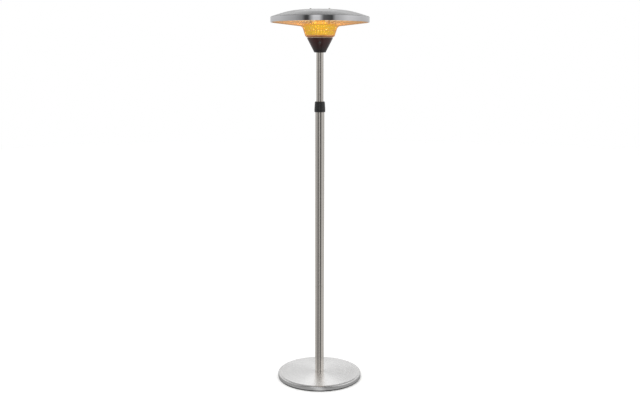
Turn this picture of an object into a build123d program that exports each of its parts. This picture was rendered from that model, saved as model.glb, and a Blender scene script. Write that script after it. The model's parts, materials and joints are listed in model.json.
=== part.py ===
from build123d import *
import os
from math import atan, cos, degrees, radians, sin, sqrt, tan

os.makedirs("parts", exist_ok=True)

# Free-standing electric patio heater. Millimetres, +Z up, the front faces -Y.
# The origin is the centre of the base, on the floor. The mast is drawn fully raised.

# ---- fits -------------------------------------------------------------------
FIT = 0.05
CLEAR = 0.1
LOOSE = 0.3

# ---- base ------------------------------------------------------------------
BASE_R = 240.0
BASE_TOP = 32.0
BASE_SHEET = 1.0
BASE_SHOULDER = 10.0
COVER_LOW = 7.5
PAN_R = 238.0
PAN_LOW = 2.0
PAN_FLOOR = 3.0
PAN_RIM_TOP = 12.0
PAN_RIM_WIDTH = 4.0
PAN_ACCESS_R = 34.0
WEIGHT_R = 233.0
WEIGHT_RECESS_R = 32.0
WEIGHT_RECESS_TOP = 17.0
WEIGHT_PLATE = 8.0
WEIGHT_RIM = 14.0
WEIGHT_HUB_R = 45.0
HUB_HOLE_R = 13.5
FOOT_COUNT = 6
FOOT_R = 13.0
FOOT_CIRCLE_R = 205.0
PAN_SCREW_CIRCLE_R = 170.0
PAN_SCREW_R = 1.95
PAN_SCREW_TIP = 16.0
PAN_SCREW_HEAD_R = 4.0
PAN_SCREW_HEAD_TOP = 3.6
BASE_BOLT_R = 6.0
BASE_BOLT_FLATS = 19.0
BASE_BOLT_HEAD_LOW = 6.5
BASE_BOLT_SHORT = 12.0
BASE_WASHER_R = 28.0
BASE_WASHER = 3.0

# ---- pole ------------------------------------------------------------------
SECTION = 514.0
POLE_R = 25.5
POLE_WALL = 1.2
POLE_BORE_R = POLE_R - POLE_WALL
EDGE_BREAK = 0.4
INSERT_R = POLE_BORE_R - 0.05
INSERT_BORE_R = 14.0
FOOT_INSERT_LENGTH = 40.0
FOOT_SPIGOT_R = 13.0
FOOT_SPIGOT = 14.0
SOCKET_DEPTH = 45.0
SOCKET_LIP = 5.0
SOCKET_BORE_R = 19.0
PLUG_LENGTH = 35.0
PLUG_THREAD_R = 18.85
PLUG_LEAD_IN = 1.0
JOINT_1 = BASE_TOP + SECTION
JOINT_2 = BASE_TOP + 2 * SECTION
POLE_TOP = BASE_TOP + 3 * SECTION

# ---- supply cord inlet, at the back of the lowest section --------------------
CORD_Z = 90.0
CORD_BORE_R = 4.1
CORD_HOLE_R = 7.0
GROMMET_R = 9.5
GROMMET_OUT = 3.0
GROMMET_IN = 19.0

# ---- telescopic mast and its clamp collar -------------------------------------
TUBE_R = 20.0
TUBE_BORE_R = 18.8
TUBE_LOW = 1470.3
TUBE_TOP = 1893.0
RUNNING = 0.08
COLLAR_LOW = 1541.0
COLLAR_RING_TOP = 1552.0
COLLAR_RING_CORNER = 2.5
COLLAR_TOP = 1600.0
COLLAR_R = 30.6
COLLAR_TOP_R = 27.6
COLLAR_SLEEVE_R = 27.0
COLLAR_FLANGE = 3.0
SPIGOT_LOW = 1531.0
FINGER_TOP = 1592.0
FINGER_ROOT_R = 24.0
FINGER_TIP_R = 22.8
FINGER_SLOT = 2.0
FINGER_ROOM = 0.5
NUT_GAP = 0.4
NUT_LOW_CORNER = 1.5
NUT_TOP_CORNER = 5.5
NUT_LIP_R = 20.5
BUSH_LOW = 1466.0
BUSH_LEDGE = 4.0
BUSH_TOP = 1530.4
BUSH_LIP_R = 17.0

# ---- control housing -------------------------------------------------------------------------------
CONE_LOW = 1867.0
CONE_TOP = 1945.0
CONE_LOW_R = 31.0
CONE_TOP_R = 71.4
CONE_WALL = 2.9
CONE_FLOOR = 3.0
CONE_CORNER = 4.0
CONE_SLOPE = (CONE_TOP_R - CONE_LOW_R) / (CONE_TOP - CONE_LOW)
SLEEVE_R = 23.2
SLEEVE_TOP = 1896.0
SLEEVE_STOP_R = 16.5
LID_R = 67.9
LID_LOW = 1942.0
LID_TOP = 1944.0
LEDGE_R = 62.1
LEDGE = 2.5
LID_SCREW_CIRCLE_R = 57.6
LID_SCREW_ANGLES = (0.0, 120.0, 240.0)
LID_BOSS_R = 4.0
LID_BOSS_LOW = 1922.0
LID_SCREW_R = 1.45
LID_SCREW_HEAD_R = 2.8
LID_SCREW_HEAD = 1.6
MAST_SCREW_Z = 1882.0
MAST_SCREW_ANGLES = (45.0, 135.0)
MAST_SCREW_R = 2.1
MAST_BOSS_R = 5.5
MAST_HEAD_R = 3.8
MAST_HEAD_IN = 37.1
MAST_HEAD_OUT = 40.1

# ---- push button, square to the cone's front ------------------------------------
BUTTON_Z = 1920.5
BUTTON_R = 4.5
BUTTON_OUT = 1.8
BUTTON_BODY = 5.4
BUTTON_FLANGE_R = 5.7
BUTTON_FLANGE = 1.2
BUTTON_STEM_R = 2.0
BUTTON_STEM_END = 9.0
BEZEL_R = 7.0
BEZEL_BORE_R = 4.9
BEZEL_SLEEVE_R = 5.9
BEZEL_DEPTH = 5.0
BEZEL_OUT = 0.8
SWITCH_SIDE = 12.0
SWITCH_NEAR = 11.0
SWITCH_DEPTH = 9.0

# ---- lamp tray, posts and lamps ----------------------------------------------------
DISC_R = 67.6
DISC_LOW = 1944.1
DISC_TOP = 1947.9
TRAY_LOW = 1948.0
TRAY_SHEET = 1.2
TRAY_R = 76.3
TRAY_CORNER = 7.0
TRAY_TOP = 1960.4
TRAY_FLOOR = TRAY_LOW + TRAY_SHEET
TRAY_SCREW_CIRCLE_R = 46.0
TRAY_SCREW_ANGLES = (45.0, 165.0, 285.0)
TRAY_SCREW_R = 1.95
TRAY_SCREW_HEAD_R = 3.8
TRAY_SCREW_HEAD = 2.2
TRAY_NUT_FLATS = 7.0
TRAY_NUT = 3.2
POST_CIRCLE_R = 59.0
POST_ANGLES = (-30.0, 90.0, 210.0)
POST_R = 4.0
POST_STUD_R = 2.4
POST_NUT_FLATS = 8.0
POST_NUT_ROOM_R = 5.4
POST_THREAD_R = 2.5
POST_THREAD = 14.0
COLUMN_R = 28.0
COLUMN_WALL = 1.0
LAMP_HEIGHTS = (1966.0, 1996.0, 2026.0)
LAMP_R = 39.0
LAMP_TUBE_R = 5.0
LAMP_BORE_R = 3.9
FILAMENT_R = 1.3
LEG_X = 11.0
LEG_BEND = 8.0
LEG_END = 58.5
FILAMENT_END = 50.0
CAP_R = 6.5
CAP_NEAR = 47.0
CAP_FAR = 61.0
CAP_SEAT_R = 5.1
BRACKET_Y = 52.0
BRACKET_SHEET = 1.5
BRACKET_FAR = 66.0
BRACKET_HALF = 20.0
BRACKET_FOOT_HALF = 7.0
BRACKET_SHOULDER = 1956.0
BRACKET_TOP = 2042.0
LEAD_R = 1.1
LEAD_PITCH = 3.0
LEAD_BEND = 2.0
LEAD_BACK_Y = 64.0
LEAD_RUN_Z = 1953.0
LEAD_DROP_Y = 40.0
LEAD_END_Z = 1936.3
BLOCK_HALF = 20.0
BLOCK_NEAR = 33.0
BLOCK_FAR = 46.0
BLOCK_LOW = 1922.0
BLOCK_TOP = 1936.0
TILT_X = 24.0
TILT_Y = -8.0
TILT_R = 6.5

# ---- hood and reflector ---------------------------------------------------------------
HOOD_TOP = 2100.0
HOOD_R = 269.4
HOOD_SHEET = 1.2
HOOD_SKIRT_LOW = 2031.0
CROWN_R = 1400.0
CROWN_ANGLE = radians(5.0)
SHOULDER_OUT = 215.0
SHOULDER_ANGLE = radians(17.5)
HOOD_BEND = 3.0
BAND_R = 270.5
BAND_LOW = 2029.0
BAND_TOP = 2056.5
BAND_LIP_R = 265.5
BAND_LIP = 1.0
REFLECTOR_Z = 2050.0
REFLECTOR_FLAT_R = 74.0
REFLECTOR_R = 264.0
REFLECTOR_EDGE_Z = 2043.0
REFLECTOR_LIP = 4.0
REFLECTOR_SHEET = 0.8
COLLAR_RING_R = 7.0
COLLAR_RING = 4.0
SPACER_R = 6.0
WASHER_R = 6.0
WASHER = 1.0
HOOD_SCREW_HEAD_R = 4.75
HOOD_SCREW_HEAD = 2.8

# ---- guard: bent wires from the lamp tray to the rim, with round wires welded on --------
WIRE_COUNT = 48
WIRE_R = 1.3
NECK_LOW_R = 81.0
NECK_LOW_Z = 1960.9
NECK_LEAN = 0.329
FLARE_R = 128.0
FLARE_Z = 2012.3
FLARE_RISE = 0.123
WIRE_BEND = 22.0
WIRE_START_Z = 1954.2
WIRE_END_R = 264.3
WELD = 0.2
NECK_RING_HEIGHTS = (1958.0, 1985.0)
FLARE_RING_RADII = (112.0, 146.0, 184.0, 223.0, 262.3)
CLIP_COUNT = 6
CLIP_HALF = 6.0
CLIP_IN = 260.5
CLIP_OUT = 268.0
CLIP_SHEET = 1.0
CLIP_Z = 2032.7
SCREEN_SHEET = 0.6
SCREEN_OFFSET = 4.4
SCREEN_LOW = 1960.7
SCREEN_OUT = 118.0


# ---- small tools -------------------------------------------------------------------------
def disc(radius, low, high, x=0.0, y=0.0):
    """A round upright block."""
    return Pos(x, y, (low + high) / 2) * Cylinder(radius, high - low)


def ring(inner, outer, low, high, x=0.0, y=0.0):
    """An upright tube."""
    return disc(outer, low, high, x, y) - disc(inner, low - 1, high + 1, x, y)


def block(x, y, z):
    """A block from three (low, high) pairs."""
    size = (x[1] - x[0], y[1] - y[0], z[1] - z[0])
    return Pos(sum(x) / 2, sum(y) / 2, sum(z) / 2) * Box(*size)


def lathe(outline):
    """A turned solid. Each corner is (radius, height) or (radius, height, fillet)."""
    corners = [(c[0], 0.0, c[1]) for c in outline]
    fillets = [c[2] if len(c) > 2 else 0 for c in outline]
    wire = FilletPolyline(*corners, radius=fillets, close=True)
    return revolve(make_face(wire), Axis.Z)


def on_circle(radius, angles):
    """Points (x, y) on a circle, angles in degrees from +X."""
    return [(radius * cos(radians(a)), radius * sin(radians(a))) for a in angles]


def even_angles(count, first=0.0):
    """Evenly spaced angles round a circle."""
    return [first + 360.0 * i / count for i in range(count)]


def hexagon(flats, low, high, x=0.0, y=0.0):
    """A hexagonal prism, given its width across flats."""
    face = RegularPolygon(flats / 2, 6, major_radius=False)
    return Pos(x, y, low) * extrude(face, high - low)


def group(solids):
    """Separate solids kept in one node."""
    return Compound(children=list(solids))


# ---- base -------------------------------------------------------------------------------------
def base_pan():
    pan = lathe([(PAN_ACCESS_R, PAN_LOW), (PAN_R, PAN_LOW, 1.0), (PAN_R, PAN_RIM_TOP),
                 (PAN_R - PAN_RIM_WIDTH, PAN_RIM_TOP), (PAN_R - PAN_RIM_WIDTH, PAN_LOW + PAN_FLOOR),
                 (PAN_ACCESS_R, PAN_LOW + PAN_FLOOR)])
    for x, y in on_circle(PAN_SCREW_CIRCLE_R, even_angles(FOOT_COUNT, 30)):
        pan -= disc(PAN_SCREW_R + LOOSE, 0, PAN_RIM_TOP, x, y)
        pan -= disc(PAN_SCREW_HEAD_R + LOOSE, 0, PAN_SCREW_HEAD_TOP, x, y)
    return pan


def base_weight():
    under_cover = BASE_TOP - BASE_SHEET
    floor = PAN_LOW + PAN_FLOOR
    plate = floor + WEIGHT_PLATE
    rim = WEIGHT_R - WEIGHT_RIM
    weight = lathe([(WEIGHT_RECESS_R, floor), (WEIGHT_R, floor),
                    (WEIGHT_R, under_cover, BASE_SHOULDER - BASE_SHEET), (rim, under_cover), (rim, plate),
                    (WEIGHT_HUB_R, plate), (WEIGHT_HUB_R, under_cover), (HUB_HOLE_R, under_cover),
                    (HUB_HOLE_R, WEIGHT_RECESS_TOP), (WEIGHT_RECESS_R, WEIGHT_RECESS_TOP)])
    for x, y in on_circle(PAN_SCREW_CIRCLE_R, even_angles(FOOT_COUNT, 30)):
        weight -= disc(PAN_SCREW_R + CLEAR, 0, PAN_SCREW_TIP + 2 * LOOSE, x, y)
    return weight


def base_cover():
    inner_r = BASE_R - BASE_SHEET
    inner_top = BASE_TOP - BASE_SHEET
    return lathe([(BASE_R, COVER_LOW), (BASE_R, BASE_TOP, BASE_SHOULDER), (HUB_HOLE_R, BASE_TOP),
                  (HUB_HOLE_R, inner_top), (inner_r, inner_top, BASE_SHOULDER - BASE_SHEET),
                  (inner_r, COVER_LOW)])


def base_feet():
    spots = on_circle(FOOT_CIRCLE_R, even_angles(FOOT_COUNT))
    return group(disc(FOOT_R, 0, PAN_LOW, x, y) for x, y in spots)


def base_screws():
    spots = on_circle(PAN_SCREW_CIRCLE_R, even_angles(FOOT_COUNT, 30))
    head_low = PAN_LOW + LOOSE
    return group(disc(PAN_SCREW_HEAD_R, head_low, PAN_SCREW_HEAD_TOP, x, y)
                 + disc(PAN_SCREW_R, PAN_SCREW_HEAD_TOP, PAN_SCREW_TIP, x, y) for x, y in spots)


def base_washer():
    return ring(BASE_BOLT_R + 2 * LOOSE, BASE_WASHER_R, WEIGHT_RECESS_TOP - BASE_WASHER, WEIGHT_RECESS_TOP)


def base_bolt():
    under_washer = WEIGHT_RECESS_TOP - BASE_WASHER
    tip = BASE_TOP + FOOT_INSERT_LENGTH - BASE_BOLT_SHORT
    head = hexagon(BASE_BOLT_FLATS, BASE_BOLT_HEAD_LOW, under_washer)
    return head + disc(BASE_BOLT_R, under_washer, tip)


def foot_insert():
    top = BASE_TOP + FOOT_INSERT_LENGTH
    low = BASE_TOP - FOOT_SPIGOT
    plug = lathe([(0, low), (FOOT_SPIGOT_R, low), (FOOT_SPIGOT_R, BASE_TOP), (INSERT_R, BASE_TOP),
                  (INSERT_R, top, 1.0), (0, top)])
    return plug - disc(BASE_BOLT_R + FIT, 0, top - BASE_BOLT_SHORT / 2)


# ---- pole ---------------------------------------------------------------------------------------
def pole_tube(low, high):
    """One pole section, its outer edges broken so that the joint shows as a fine line."""
    rim = POLE_R - EDGE_BREAK
    return lathe([(POLE_BORE_R, low), (rim, low), (POLE_R, low + EDGE_BREAK), (POLE_R, high - EDGE_BREAK),
                  (rim, high), (POLE_BORE_R, high)])


def pole_bottom():
    hole = Pos(0, POLE_R, CORD_Z) * Rot(90, 0, 0) * Cylinder(CORD_HOLE_R, POLE_R)
    return pole_tube(BASE_TOP, JOINT_1) - hole


def joint_socket(height):
    """Threaded socket in the top of a section."""
    floor = height - SOCKET_DEPTH
    low = floor - SOCKET_LIP
    return lathe([(INSERT_BORE_R, low), (INSERT_R, low), (INSERT_R, height), (SOCKET_BORE_R, height),
                  (SOCKET_BORE_R, floor), (INSERT_BORE_R, floor)])


def joint_plug(height):
    """Threaded plug in the foot of the next section."""
    low, top = height - PLUG_LENGTH, height + PLUG_LENGTH
    return lathe([(INSERT_BORE_R, low), (PLUG_THREAD_R - PLUG_LEAD_IN, low),
                  (PLUG_THREAD_R, low + PLUG_LEAD_IN), (PLUG_THREAD_R, height), (INSERT_R, height),
                  (INSERT_R, top), (INSERT_BORE_R, top)])


def along_y(radius, near, far):
    """A round bar along +Y at the height of the cord inlet."""
    return Pos(0, (near + far) / 2, CORD_Z) * Rot(90, 0, 0) * Cylinder(radius, far - near)


def cord_grommet():
    tall = 2 * GROMMET_R + 2
    outside = disc(2 * POLE_R, CORD_Z - tall, CORD_Z + tall) - disc(POLE_R + FIT, 0, 2 * CORD_Z)
    inside = disc(POLE_BORE_R - FIT, CORD_Z - tall, CORD_Z + tall)
    flange = along_y(GROMMET_R, GROMMET_IN, POLE_R + GROMMET_OUT) & outside
    neck = along_y(CORD_HOLE_R - FIT, GROMMET_IN, POLE_R + 1)
    keeper = along_y(GROMMET_R - 1, GROMMET_IN, POLE_R) & inside
    return flange + neck + keeper - along_y(CORD_BORE_R, 0, 2 * POLE_R)


# ---- clamp collar and sliding mast -----------------------------------------------------------------
def collar_body():
    bore = TUBE_R + RUNNING
    outer_seat = POLE_R + FIT
    flange_top = POLE_TOP + COLLAR_FLANGE
    body = lathe([(bore, SPIGOT_LOW), (INSERT_R, SPIGOT_LOW), (INSERT_R, POLE_TOP), (outer_seat, POLE_TOP),
                  (outer_seat, COLLAR_LOW), (COLLAR_R - NUT_GAP, COLLAR_LOW, COLLAR_RING_CORNER),
                  (COLLAR_R - NUT_GAP, COLLAR_RING_TOP), (COLLAR_SLEEVE_R, COLLAR_RING_TOP),
                  (COLLAR_SLEEVE_R, flange_top), (FINGER_ROOT_R, flange_top), (FINGER_TIP_R, FINGER_TOP),
                  (bore, FINGER_TOP)])
    reach = (-FINGER_ROOT_R - 1, FINGER_ROOT_R + 1)
    slot = (-FINGER_SLOT / 2, FINGER_SLOT / 2)
    height = (flange_top + 0.5, FINGER_TOP + 1)
    return body - block(reach, slot, height) - block(slot, reach, height)


def collar_nut():
    low = COLLAR_RING_TOP + NUT_GAP
    bore = COLLAR_SLEEVE_R + NUT_GAP
    roof = POLE_TOP + COLLAR_FLANGE + 2 * LOOSE
    lip = FINGER_TOP + 2 * LOOSE
    return lathe([(bore, low), (COLLAR_R, low, NUT_LOW_CORNER), (COLLAR_TOP_R, COLLAR_TOP, NUT_TOP_CORNER),
                  (NUT_LIP_R, COLLAR_TOP), (NUT_LIP_R, lip), (FINGER_TIP_R + FINGER_ROOM, lip),
                  (FINGER_ROOT_R + FINGER_ROOM, roof), (bore, roof)])


def guide_bush():
    outer = POLE_BORE_R - RUNNING
    bore = TUBE_R + RUNNING
    return lathe([(BUSH_LIP_R, BUSH_LOW), (outer, BUSH_LOW), (outer, BUSH_TOP), (bore, BUSH_TOP),
                  (bore, BUSH_LOW + BUSH_LEDGE), (BUSH_LIP_R, BUSH_LOW + BUSH_LEDGE)])


def upper_tube():
    return ring(TUBE_BORE_R, TUBE_R, TUBE_LOW, TUBE_TOP)


# ---- control housing -------------------------------------------------------------------------------
def cone_r(z):
    """The housing's outer radius at a height."""
    return CONE_LOW_R + CONE_SLOPE * (z - CONE_LOW)


def radial_bar(radius, near, far, angle, z):
    """A round bar that points straight out from the mast."""
    lying = Pos((near + far) / 2, 0, z) * Rot(0, 90, 0) * Cylinder(radius, far - near)
    return Rot(0, 0, angle) * lying


def button_bar(radius, inner, outer):
    """A round bar on the button's axis, from one distance outside the cone's face to another."""
    lean = degrees(atan(CONE_SLOPE))
    face = Pos(0, -cone_r(BUTTON_Z), BUTTON_Z) * Rot(90 + lean, 0, 0)
    return face * Pos(0, 0, (inner + outer) / 2) * Cylinder(radius, outer - inner)


def housing():
    bore = TUBE_R + CLEAR
    inner_low = CONE_LOW + CONE_FLOOR
    shelf = LID_LOW - LEDGE
    lid_bore = LID_R + LOOSE
    tube_stop = TUBE_TOP + LOOSE
    shell = lathe([(bore, CONE_LOW), (CONE_LOW_R, CONE_LOW, CONE_CORNER), (CONE_TOP_R, CONE_TOP, 1.0),
                   (lid_bore, CONE_TOP), (lid_bore, LID_LOW), (LEDGE_R, LID_LOW), (LEDGE_R, shelf),
                   (cone_r(shelf) - CONE_WALL, shelf), (cone_r(inner_low) - CONE_WALL, inner_low),
                   (SLEEVE_R, inner_low), (SLEEVE_R, SLEEVE_TOP), (SLEEVE_STOP_R, SLEEVE_TOP),
                   (SLEEVE_STOP_R, tube_stop), (bore, tube_stop)])
    for x, y in on_circle(LID_SCREW_CIRCLE_R, LID_SCREW_ANGLES):
        shell += disc(LID_BOSS_R, LID_BOSS_LOW, LID_LOW, x, y) & lathe(
            [(0, CONE_LOW), (CONE_LOW_R - 1, CONE_LOW), (CONE_TOP_R - 1, CONE_TOP), (0, CONE_TOP)])
        shell -= disc(LID_SCREW_R + FIT, LID_BOSS_LOW + 4, CONE_TOP, x, y)
    for angle in MAST_SCREW_ANGLES:
        shell += radial_bar(MAST_BOSS_R, SLEEVE_R - 1, cone_r(MAST_SCREW_Z) - 2, angle, MAST_SCREW_Z)
        shell -= radial_bar(MAST_SCREW_R + CLEAR, TUBE_R - 1, CONE_TOP_R, angle, MAST_SCREW_Z)
        shell -= radial_bar(MAST_HEAD_R + LOOSE, MAST_HEAD_IN, CONE_TOP_R, angle, MAST_SCREW_Z)
    return shell - button_bar(BEZEL_SLEEVE_R + CLEAR, -3 * BEZEL_DEPTH, BEZEL_DEPTH)


def housing_screws():
    return group(radial_bar(MAST_SCREW_R, TUBE_R + FIT, MAST_HEAD_IN, angle, MAST_SCREW_Z)
                 + radial_bar(MAST_HEAD_R, MAST_HEAD_IN, MAST_HEAD_OUT, angle, MAST_SCREW_Z)
                 for angle in MAST_SCREW_ANGLES)


def lead_slots():
    """The two openings that the lamp leads pass through."""
    half = LEAD_R + 2 * LOOSE
    far = LEG_X + 2 * LEAD_PITCH + half
    y = (LEAD_DROP_Y - half, LEAD_DROP_Y + half)
    z = (CONE_LOW, HOOD_TOP)
    return block((LEG_X - half, far), y, z) + block((-far, -LEG_X + half), y, z)


def housing_lid():
    lid = disc(LID_R, LID_LOW, LID_TOP) - lead_slots()
    for x, y in on_circle(LID_SCREW_CIRCLE_R, LID_SCREW_ANGLES):
        lid -= disc(LID_SCREW_R + CLEAR, CONE_LOW, CONE_TOP, x, y)
    for x, y in on_circle(TRAY_SCREW_CIRCLE_R, TRAY_SCREW_ANGLES):
        lid -= disc(TRAY_SCREW_R + CLEAR, CONE_LOW, CONE_TOP, x, y)
    return lid


def lid_screws():
    spots = on_circle(LID_SCREW_CIRCLE_R, LID_SCREW_ANGLES)
    head_top = LID_TOP + LID_SCREW_HEAD
    return group(disc(LID_SCREW_R, LID_BOSS_LOW + 6, LID_TOP, x, y)
                 + disc(LID_SCREW_HEAD_R, LID_TOP, head_top, x, y) for x, y in spots)


def button_bezel():
    bezel = button_bar(BEZEL_SLEEVE_R, -BEZEL_DEPTH, BEZEL_OUT) + button_bar(BEZEL_R, FIT, BEZEL_OUT)
    bezel -= button_bar(BEZEL_BORE_R, -2 * BEZEL_DEPTH, BEZEL_DEPTH)
    edge = bezel.edges().filter_by(GeomType.CIRCLE).sort_by(Axis.Y)[0]
    return fillet(edge, 0.4)


def power_button():
    flange = BUTTON_BODY + BUTTON_FLANGE
    button = button_bar(BUTTON_R, -flange, BUTTON_OUT)
    button = fillet(button.edges().filter_by(GeomType.CIRCLE).sort_by(Axis.Y)[0], 0.9)
    button += button_bar(BUTTON_FLANGE_R, -flange, -BUTTON_BODY)
    return button + button_bar(BUTTON_STEM_R, -BUTTON_STEM_END, -BUTTON_BODY)


def step_switch():
    lean = degrees(atan(CONE_SLOPE))
    face = Pos(0, -cone_r(BUTTON_Z), BUTTON_Z) * Rot(90 + lean, 0, 0)
    return face * Pos(0, 0, -SWITCH_NEAR - SWITCH_DEPTH / 2) * Box(SWITCH_SIDE, SWITCH_SIDE, SWITCH_DEPTH)


def terminal_block():
    body = block((-BLOCK_HALF, BLOCK_HALF), (BLOCK_NEAR, BLOCK_FAR), (BLOCK_LOW, BLOCK_TOP))
    middle = (BLOCK_NEAR + BLOCK_FAR) / 2
    for x in (-5.0, 5.0):
        body += disc(2.0, BLOCK_TOP - 1, LID_LOW, x, middle)
    for step in range(5):
        x = -BLOCK_HALF + 4 + 8 * step
        body -= disc(2.2, BLOCK_LOW - 1, BLOCK_LOW + 4, x, middle)
    return body


def tilt_switch():
    can = disc(TILT_R, LID_LOW - 20, LID_LOW, TILT_X, TILT_Y)
    return fillet(can.edges().filter_by(GeomType.CIRCLE).sort_by(Axis.Z)[0], 1.5)


# ---- lamp tray, posts, bracket and lamps -----------------------------------------------------------
def insulating_disc():
    disc_board = disc(DISC_R, DISC_LOW, DISC_TOP) - lead_slots()
    for x, y in on_circle(LID_SCREW_CIRCLE_R, LID_SCREW_ANGLES):
        disc_board -= disc(LID_SCREW_HEAD_R + LOOSE, CONE_LOW, HOOD_TOP, x, y)
    for x, y in on_circle(TRAY_SCREW_CIRCLE_R, TRAY_SCREW_ANGLES):
        disc_board -= disc(TRAY_SCREW_R + LOOSE, CONE_LOW, HOOD_TOP, x, y)
    for x, y in on_circle(POST_CIRCLE_R, POST_ANGLES):
        disc_board -= disc(POST_NUT_ROOM_R, CONE_LOW, HOOD_TOP, x, y)
    return disc_board


def lamp_tray():
    inner_r = TRAY_R - TRAY_SHEET
    tray = lathe([(0, TRAY_LOW), (TRAY_R, TRAY_LOW, TRAY_CORNER), (TRAY_R, TRAY_TOP), (inner_r, TRAY_TOP),
                  (inner_r, TRAY_FLOOR, TRAY_CORNER - TRAY_SHEET), (0, TRAY_FLOOR)])
    tray -= lead_slots()
    for x, y in on_circle(POST_CIRCLE_R, POST_ANGLES):
        tray -= disc(POST_STUD_R + CLEAR, CONE_LOW, TRAY_TOP, x, y)
    for x, y in on_circle(TRAY_SCREW_CIRCLE_R, TRAY_SCREW_ANGLES):
        tray -= disc(TRAY_SCREW_R + CLEAR, CONE_LOW, TRAY_TOP, x, y)
    return tray


def tray_screws():
    spots = on_circle(TRAY_SCREW_CIRCLE_R, TRAY_SCREW_ANGLES)
    head_top = TRAY_FLOOR + TRAY_SCREW_HEAD
    return group(disc(TRAY_SCREW_R, LID_LOW - 6, TRAY_FLOOR, x, y)
                 + disc(TRAY_SCREW_HEAD_R, TRAY_FLOOR, head_top, x, y) for x, y in spots)


def tray_nuts():
    spots = on_circle(TRAY_SCREW_CIRCLE_R, TRAY_SCREW_ANGLES)
    return group(hexagon(TRAY_NUT_FLATS, LID_LOW - TRAY_NUT, LID_LOW, x, y)
                 - disc(TRAY_SCREW_R + FIT, CONE_LOW, HOOD_TOP, x, y) for x, y in spots)


def reflector_column():
    return ring(COLUMN_R - COLUMN_WALL, COLUMN_R, TRAY_FLOOR + CLEAR, REFLECTOR_Z - LOOSE)


def lamp_path(z, leg_end):
    """The ring lamp's centre line: a leg, a bend, the ring, a bend and a leg."""
    bend_x = LEG_X + LEG_BEND
    bend_y = sqrt((LAMP_R + LEG_BEND) ** 2 - bend_x ** 2)
    share = LAMP_R / (LAMP_R + LEG_BEND)
    touch = (bend_x * share, bend_y * share)
    middle = radians(180 + degrees(atan(bend_y / bend_x)) / 2)
    turn = (bend_x + LEG_BEND * cos(middle), bend_y + LEG_BEND * sin(middle))
    right = [(LEG_X, leg_end), (LEG_X, bend_y), turn, touch]
    left = [(-x, y) for x, y in reversed(right)]
    a, b, c, d = [(x, y, z) for x, y in right]
    e, f, g, h = [(x, y, z) for x, y in left]
    front = (0, -LAMP_R, z)
    return Wire([Line(a, b).edge(), ThreePointArc(b, c, d).edge(), ThreePointArc(d, front, e).edge(),
                 ThreePointArc(e, f, g).edge(), Line(g, h).edge()])


def swept(path, radius):
    """A round bar along a path."""
    start = Plane(origin=path @ 0, z_dir=path % 0)
    return sweep(start * Circle(radius), path=path)


def lamp(z):
    return swept(lamp_path(z, LEG_END), LAMP_TUBE_R) - swept(lamp_path(z, LEG_END), LAMP_BORE_R)


def filaments():
    return group(swept(lamp_path(z, FILAMENT_END), FILAMENT_R) for z in LAMP_HEIGHTS)


def bar_y(radius, near, far, x, z):
    """A round bar along Y."""
    return Pos(x, (near + far) / 2, z) * Rot(90, 0, 0) * Cylinder(radius, far - near)


def lamp_caps():
    caps = []
    for z in LAMP_HEIGHTS:
        for x in (-LEG_X, LEG_X):
            cap = bar_y(CAP_R, CAP_NEAR, CAP_FAR, x, z)
            cap -= bar_y(CAP_SEAT_R, CAP_NEAR - 1, LEG_END + CLEAR, x, z)
            caps.append(cap - bar_y(LEAD_R + CLEAR, LEG_END, CAP_FAR + 1, x, z))
    return group(caps)


def lamp_bracket():
    web = (BRACKET_Y, BRACKET_Y + BRACKET_SHEET)
    flange = (BRACKET_Y, BRACKET_FAR)
    foot = (-BRACKET_FOOT_HALF, BRACKET_FOOT_HALF)
    wide = (-BRACKET_HALF, BRACKET_HALF)
    bracket = block(wide, web, (BRACKET_SHOULDER, BRACKET_TOP))
    bracket += block(foot, web, (TRAY_FLOOR, BRACKET_TOP))
    bracket += block(foot, flange, (TRAY_FLOOR, TRAY_FLOOR + BRACKET_SHEET))
    bracket += block(wide, flange, (BRACKET_TOP - BRACKET_SHEET, BRACKET_TOP))
    bracket -= disc(POST_R + CLEAR, TRAY_LOW, HOOD_TOP, 0, POST_CIRCLE_R)
    for z in LAMP_HEIGHTS:
        for x in (-LEG_X, LEG_X):
            bracket -= bar_y(CAP_R + CLEAR, BRACKET_Y - 1, BRACKET_Y + 2 * BRACKET_SHEET, x, z)
    return bracket


def lamp_leads():
    leads = []
    for step, z in enumerate(LAMP_HEIGHTS):
        for side in (-1, 1):
            start_x = side * LEG_X
            x = side * (LEG_X + LEAD_PITCH * step)
            route = [(start_x, LEG_END + 1, z), (start_x, LEAD_BACK_Y, z)]
            if step:
                route.append((x, LEAD_BACK_Y, z - 2 * LEAD_PITCH))
            route += [(x, LEAD_BACK_Y, LEAD_RUN_Z), (x, LEAD_DROP_Y, LEAD_RUN_Z)]
            route.append((x, LEAD_DROP_Y, LEAD_END_Z))
            leads.append(swept(FilletPolyline(*route, radius=LEAD_BEND), LEAD_R))
    return group(leads)


def hood_point(r):
    """The height of the hood's outer face at a radius on its crown."""
    return HOOD_TOP - CROWN_R + sqrt(CROWN_R ** 2 - r ** 2)


POST_TOP = hood_point(POST_CIRCLE_R) - HOOD_SHEET - 2 * LOOSE


def support_posts():
    posts = []
    for x, y in on_circle(POST_CIRCLE_R, POST_ANGLES):
        post = disc(POST_R, TRAY_FLOOR, POST_TOP, x, y)
        post += disc(POST_STUD_R, DISC_LOW + CLEAR, TRAY_FLOOR, x, y)
        posts.append(post - disc(POST_THREAD_R, POST_TOP - POST_THREAD, HOOD_TOP, x, y))
    return group(posts)


def post_nuts():
    spots = on_circle(POST_CIRCLE_R, POST_ANGLES)
    return group(hexagon(POST_NUT_FLATS, DISC_LOW + LOOSE, DISC_TOP, x, y)
                 - disc(POST_STUD_R + FIT, CONE_LOW, HOOD_TOP, x, y) for x, y in spots)


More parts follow.
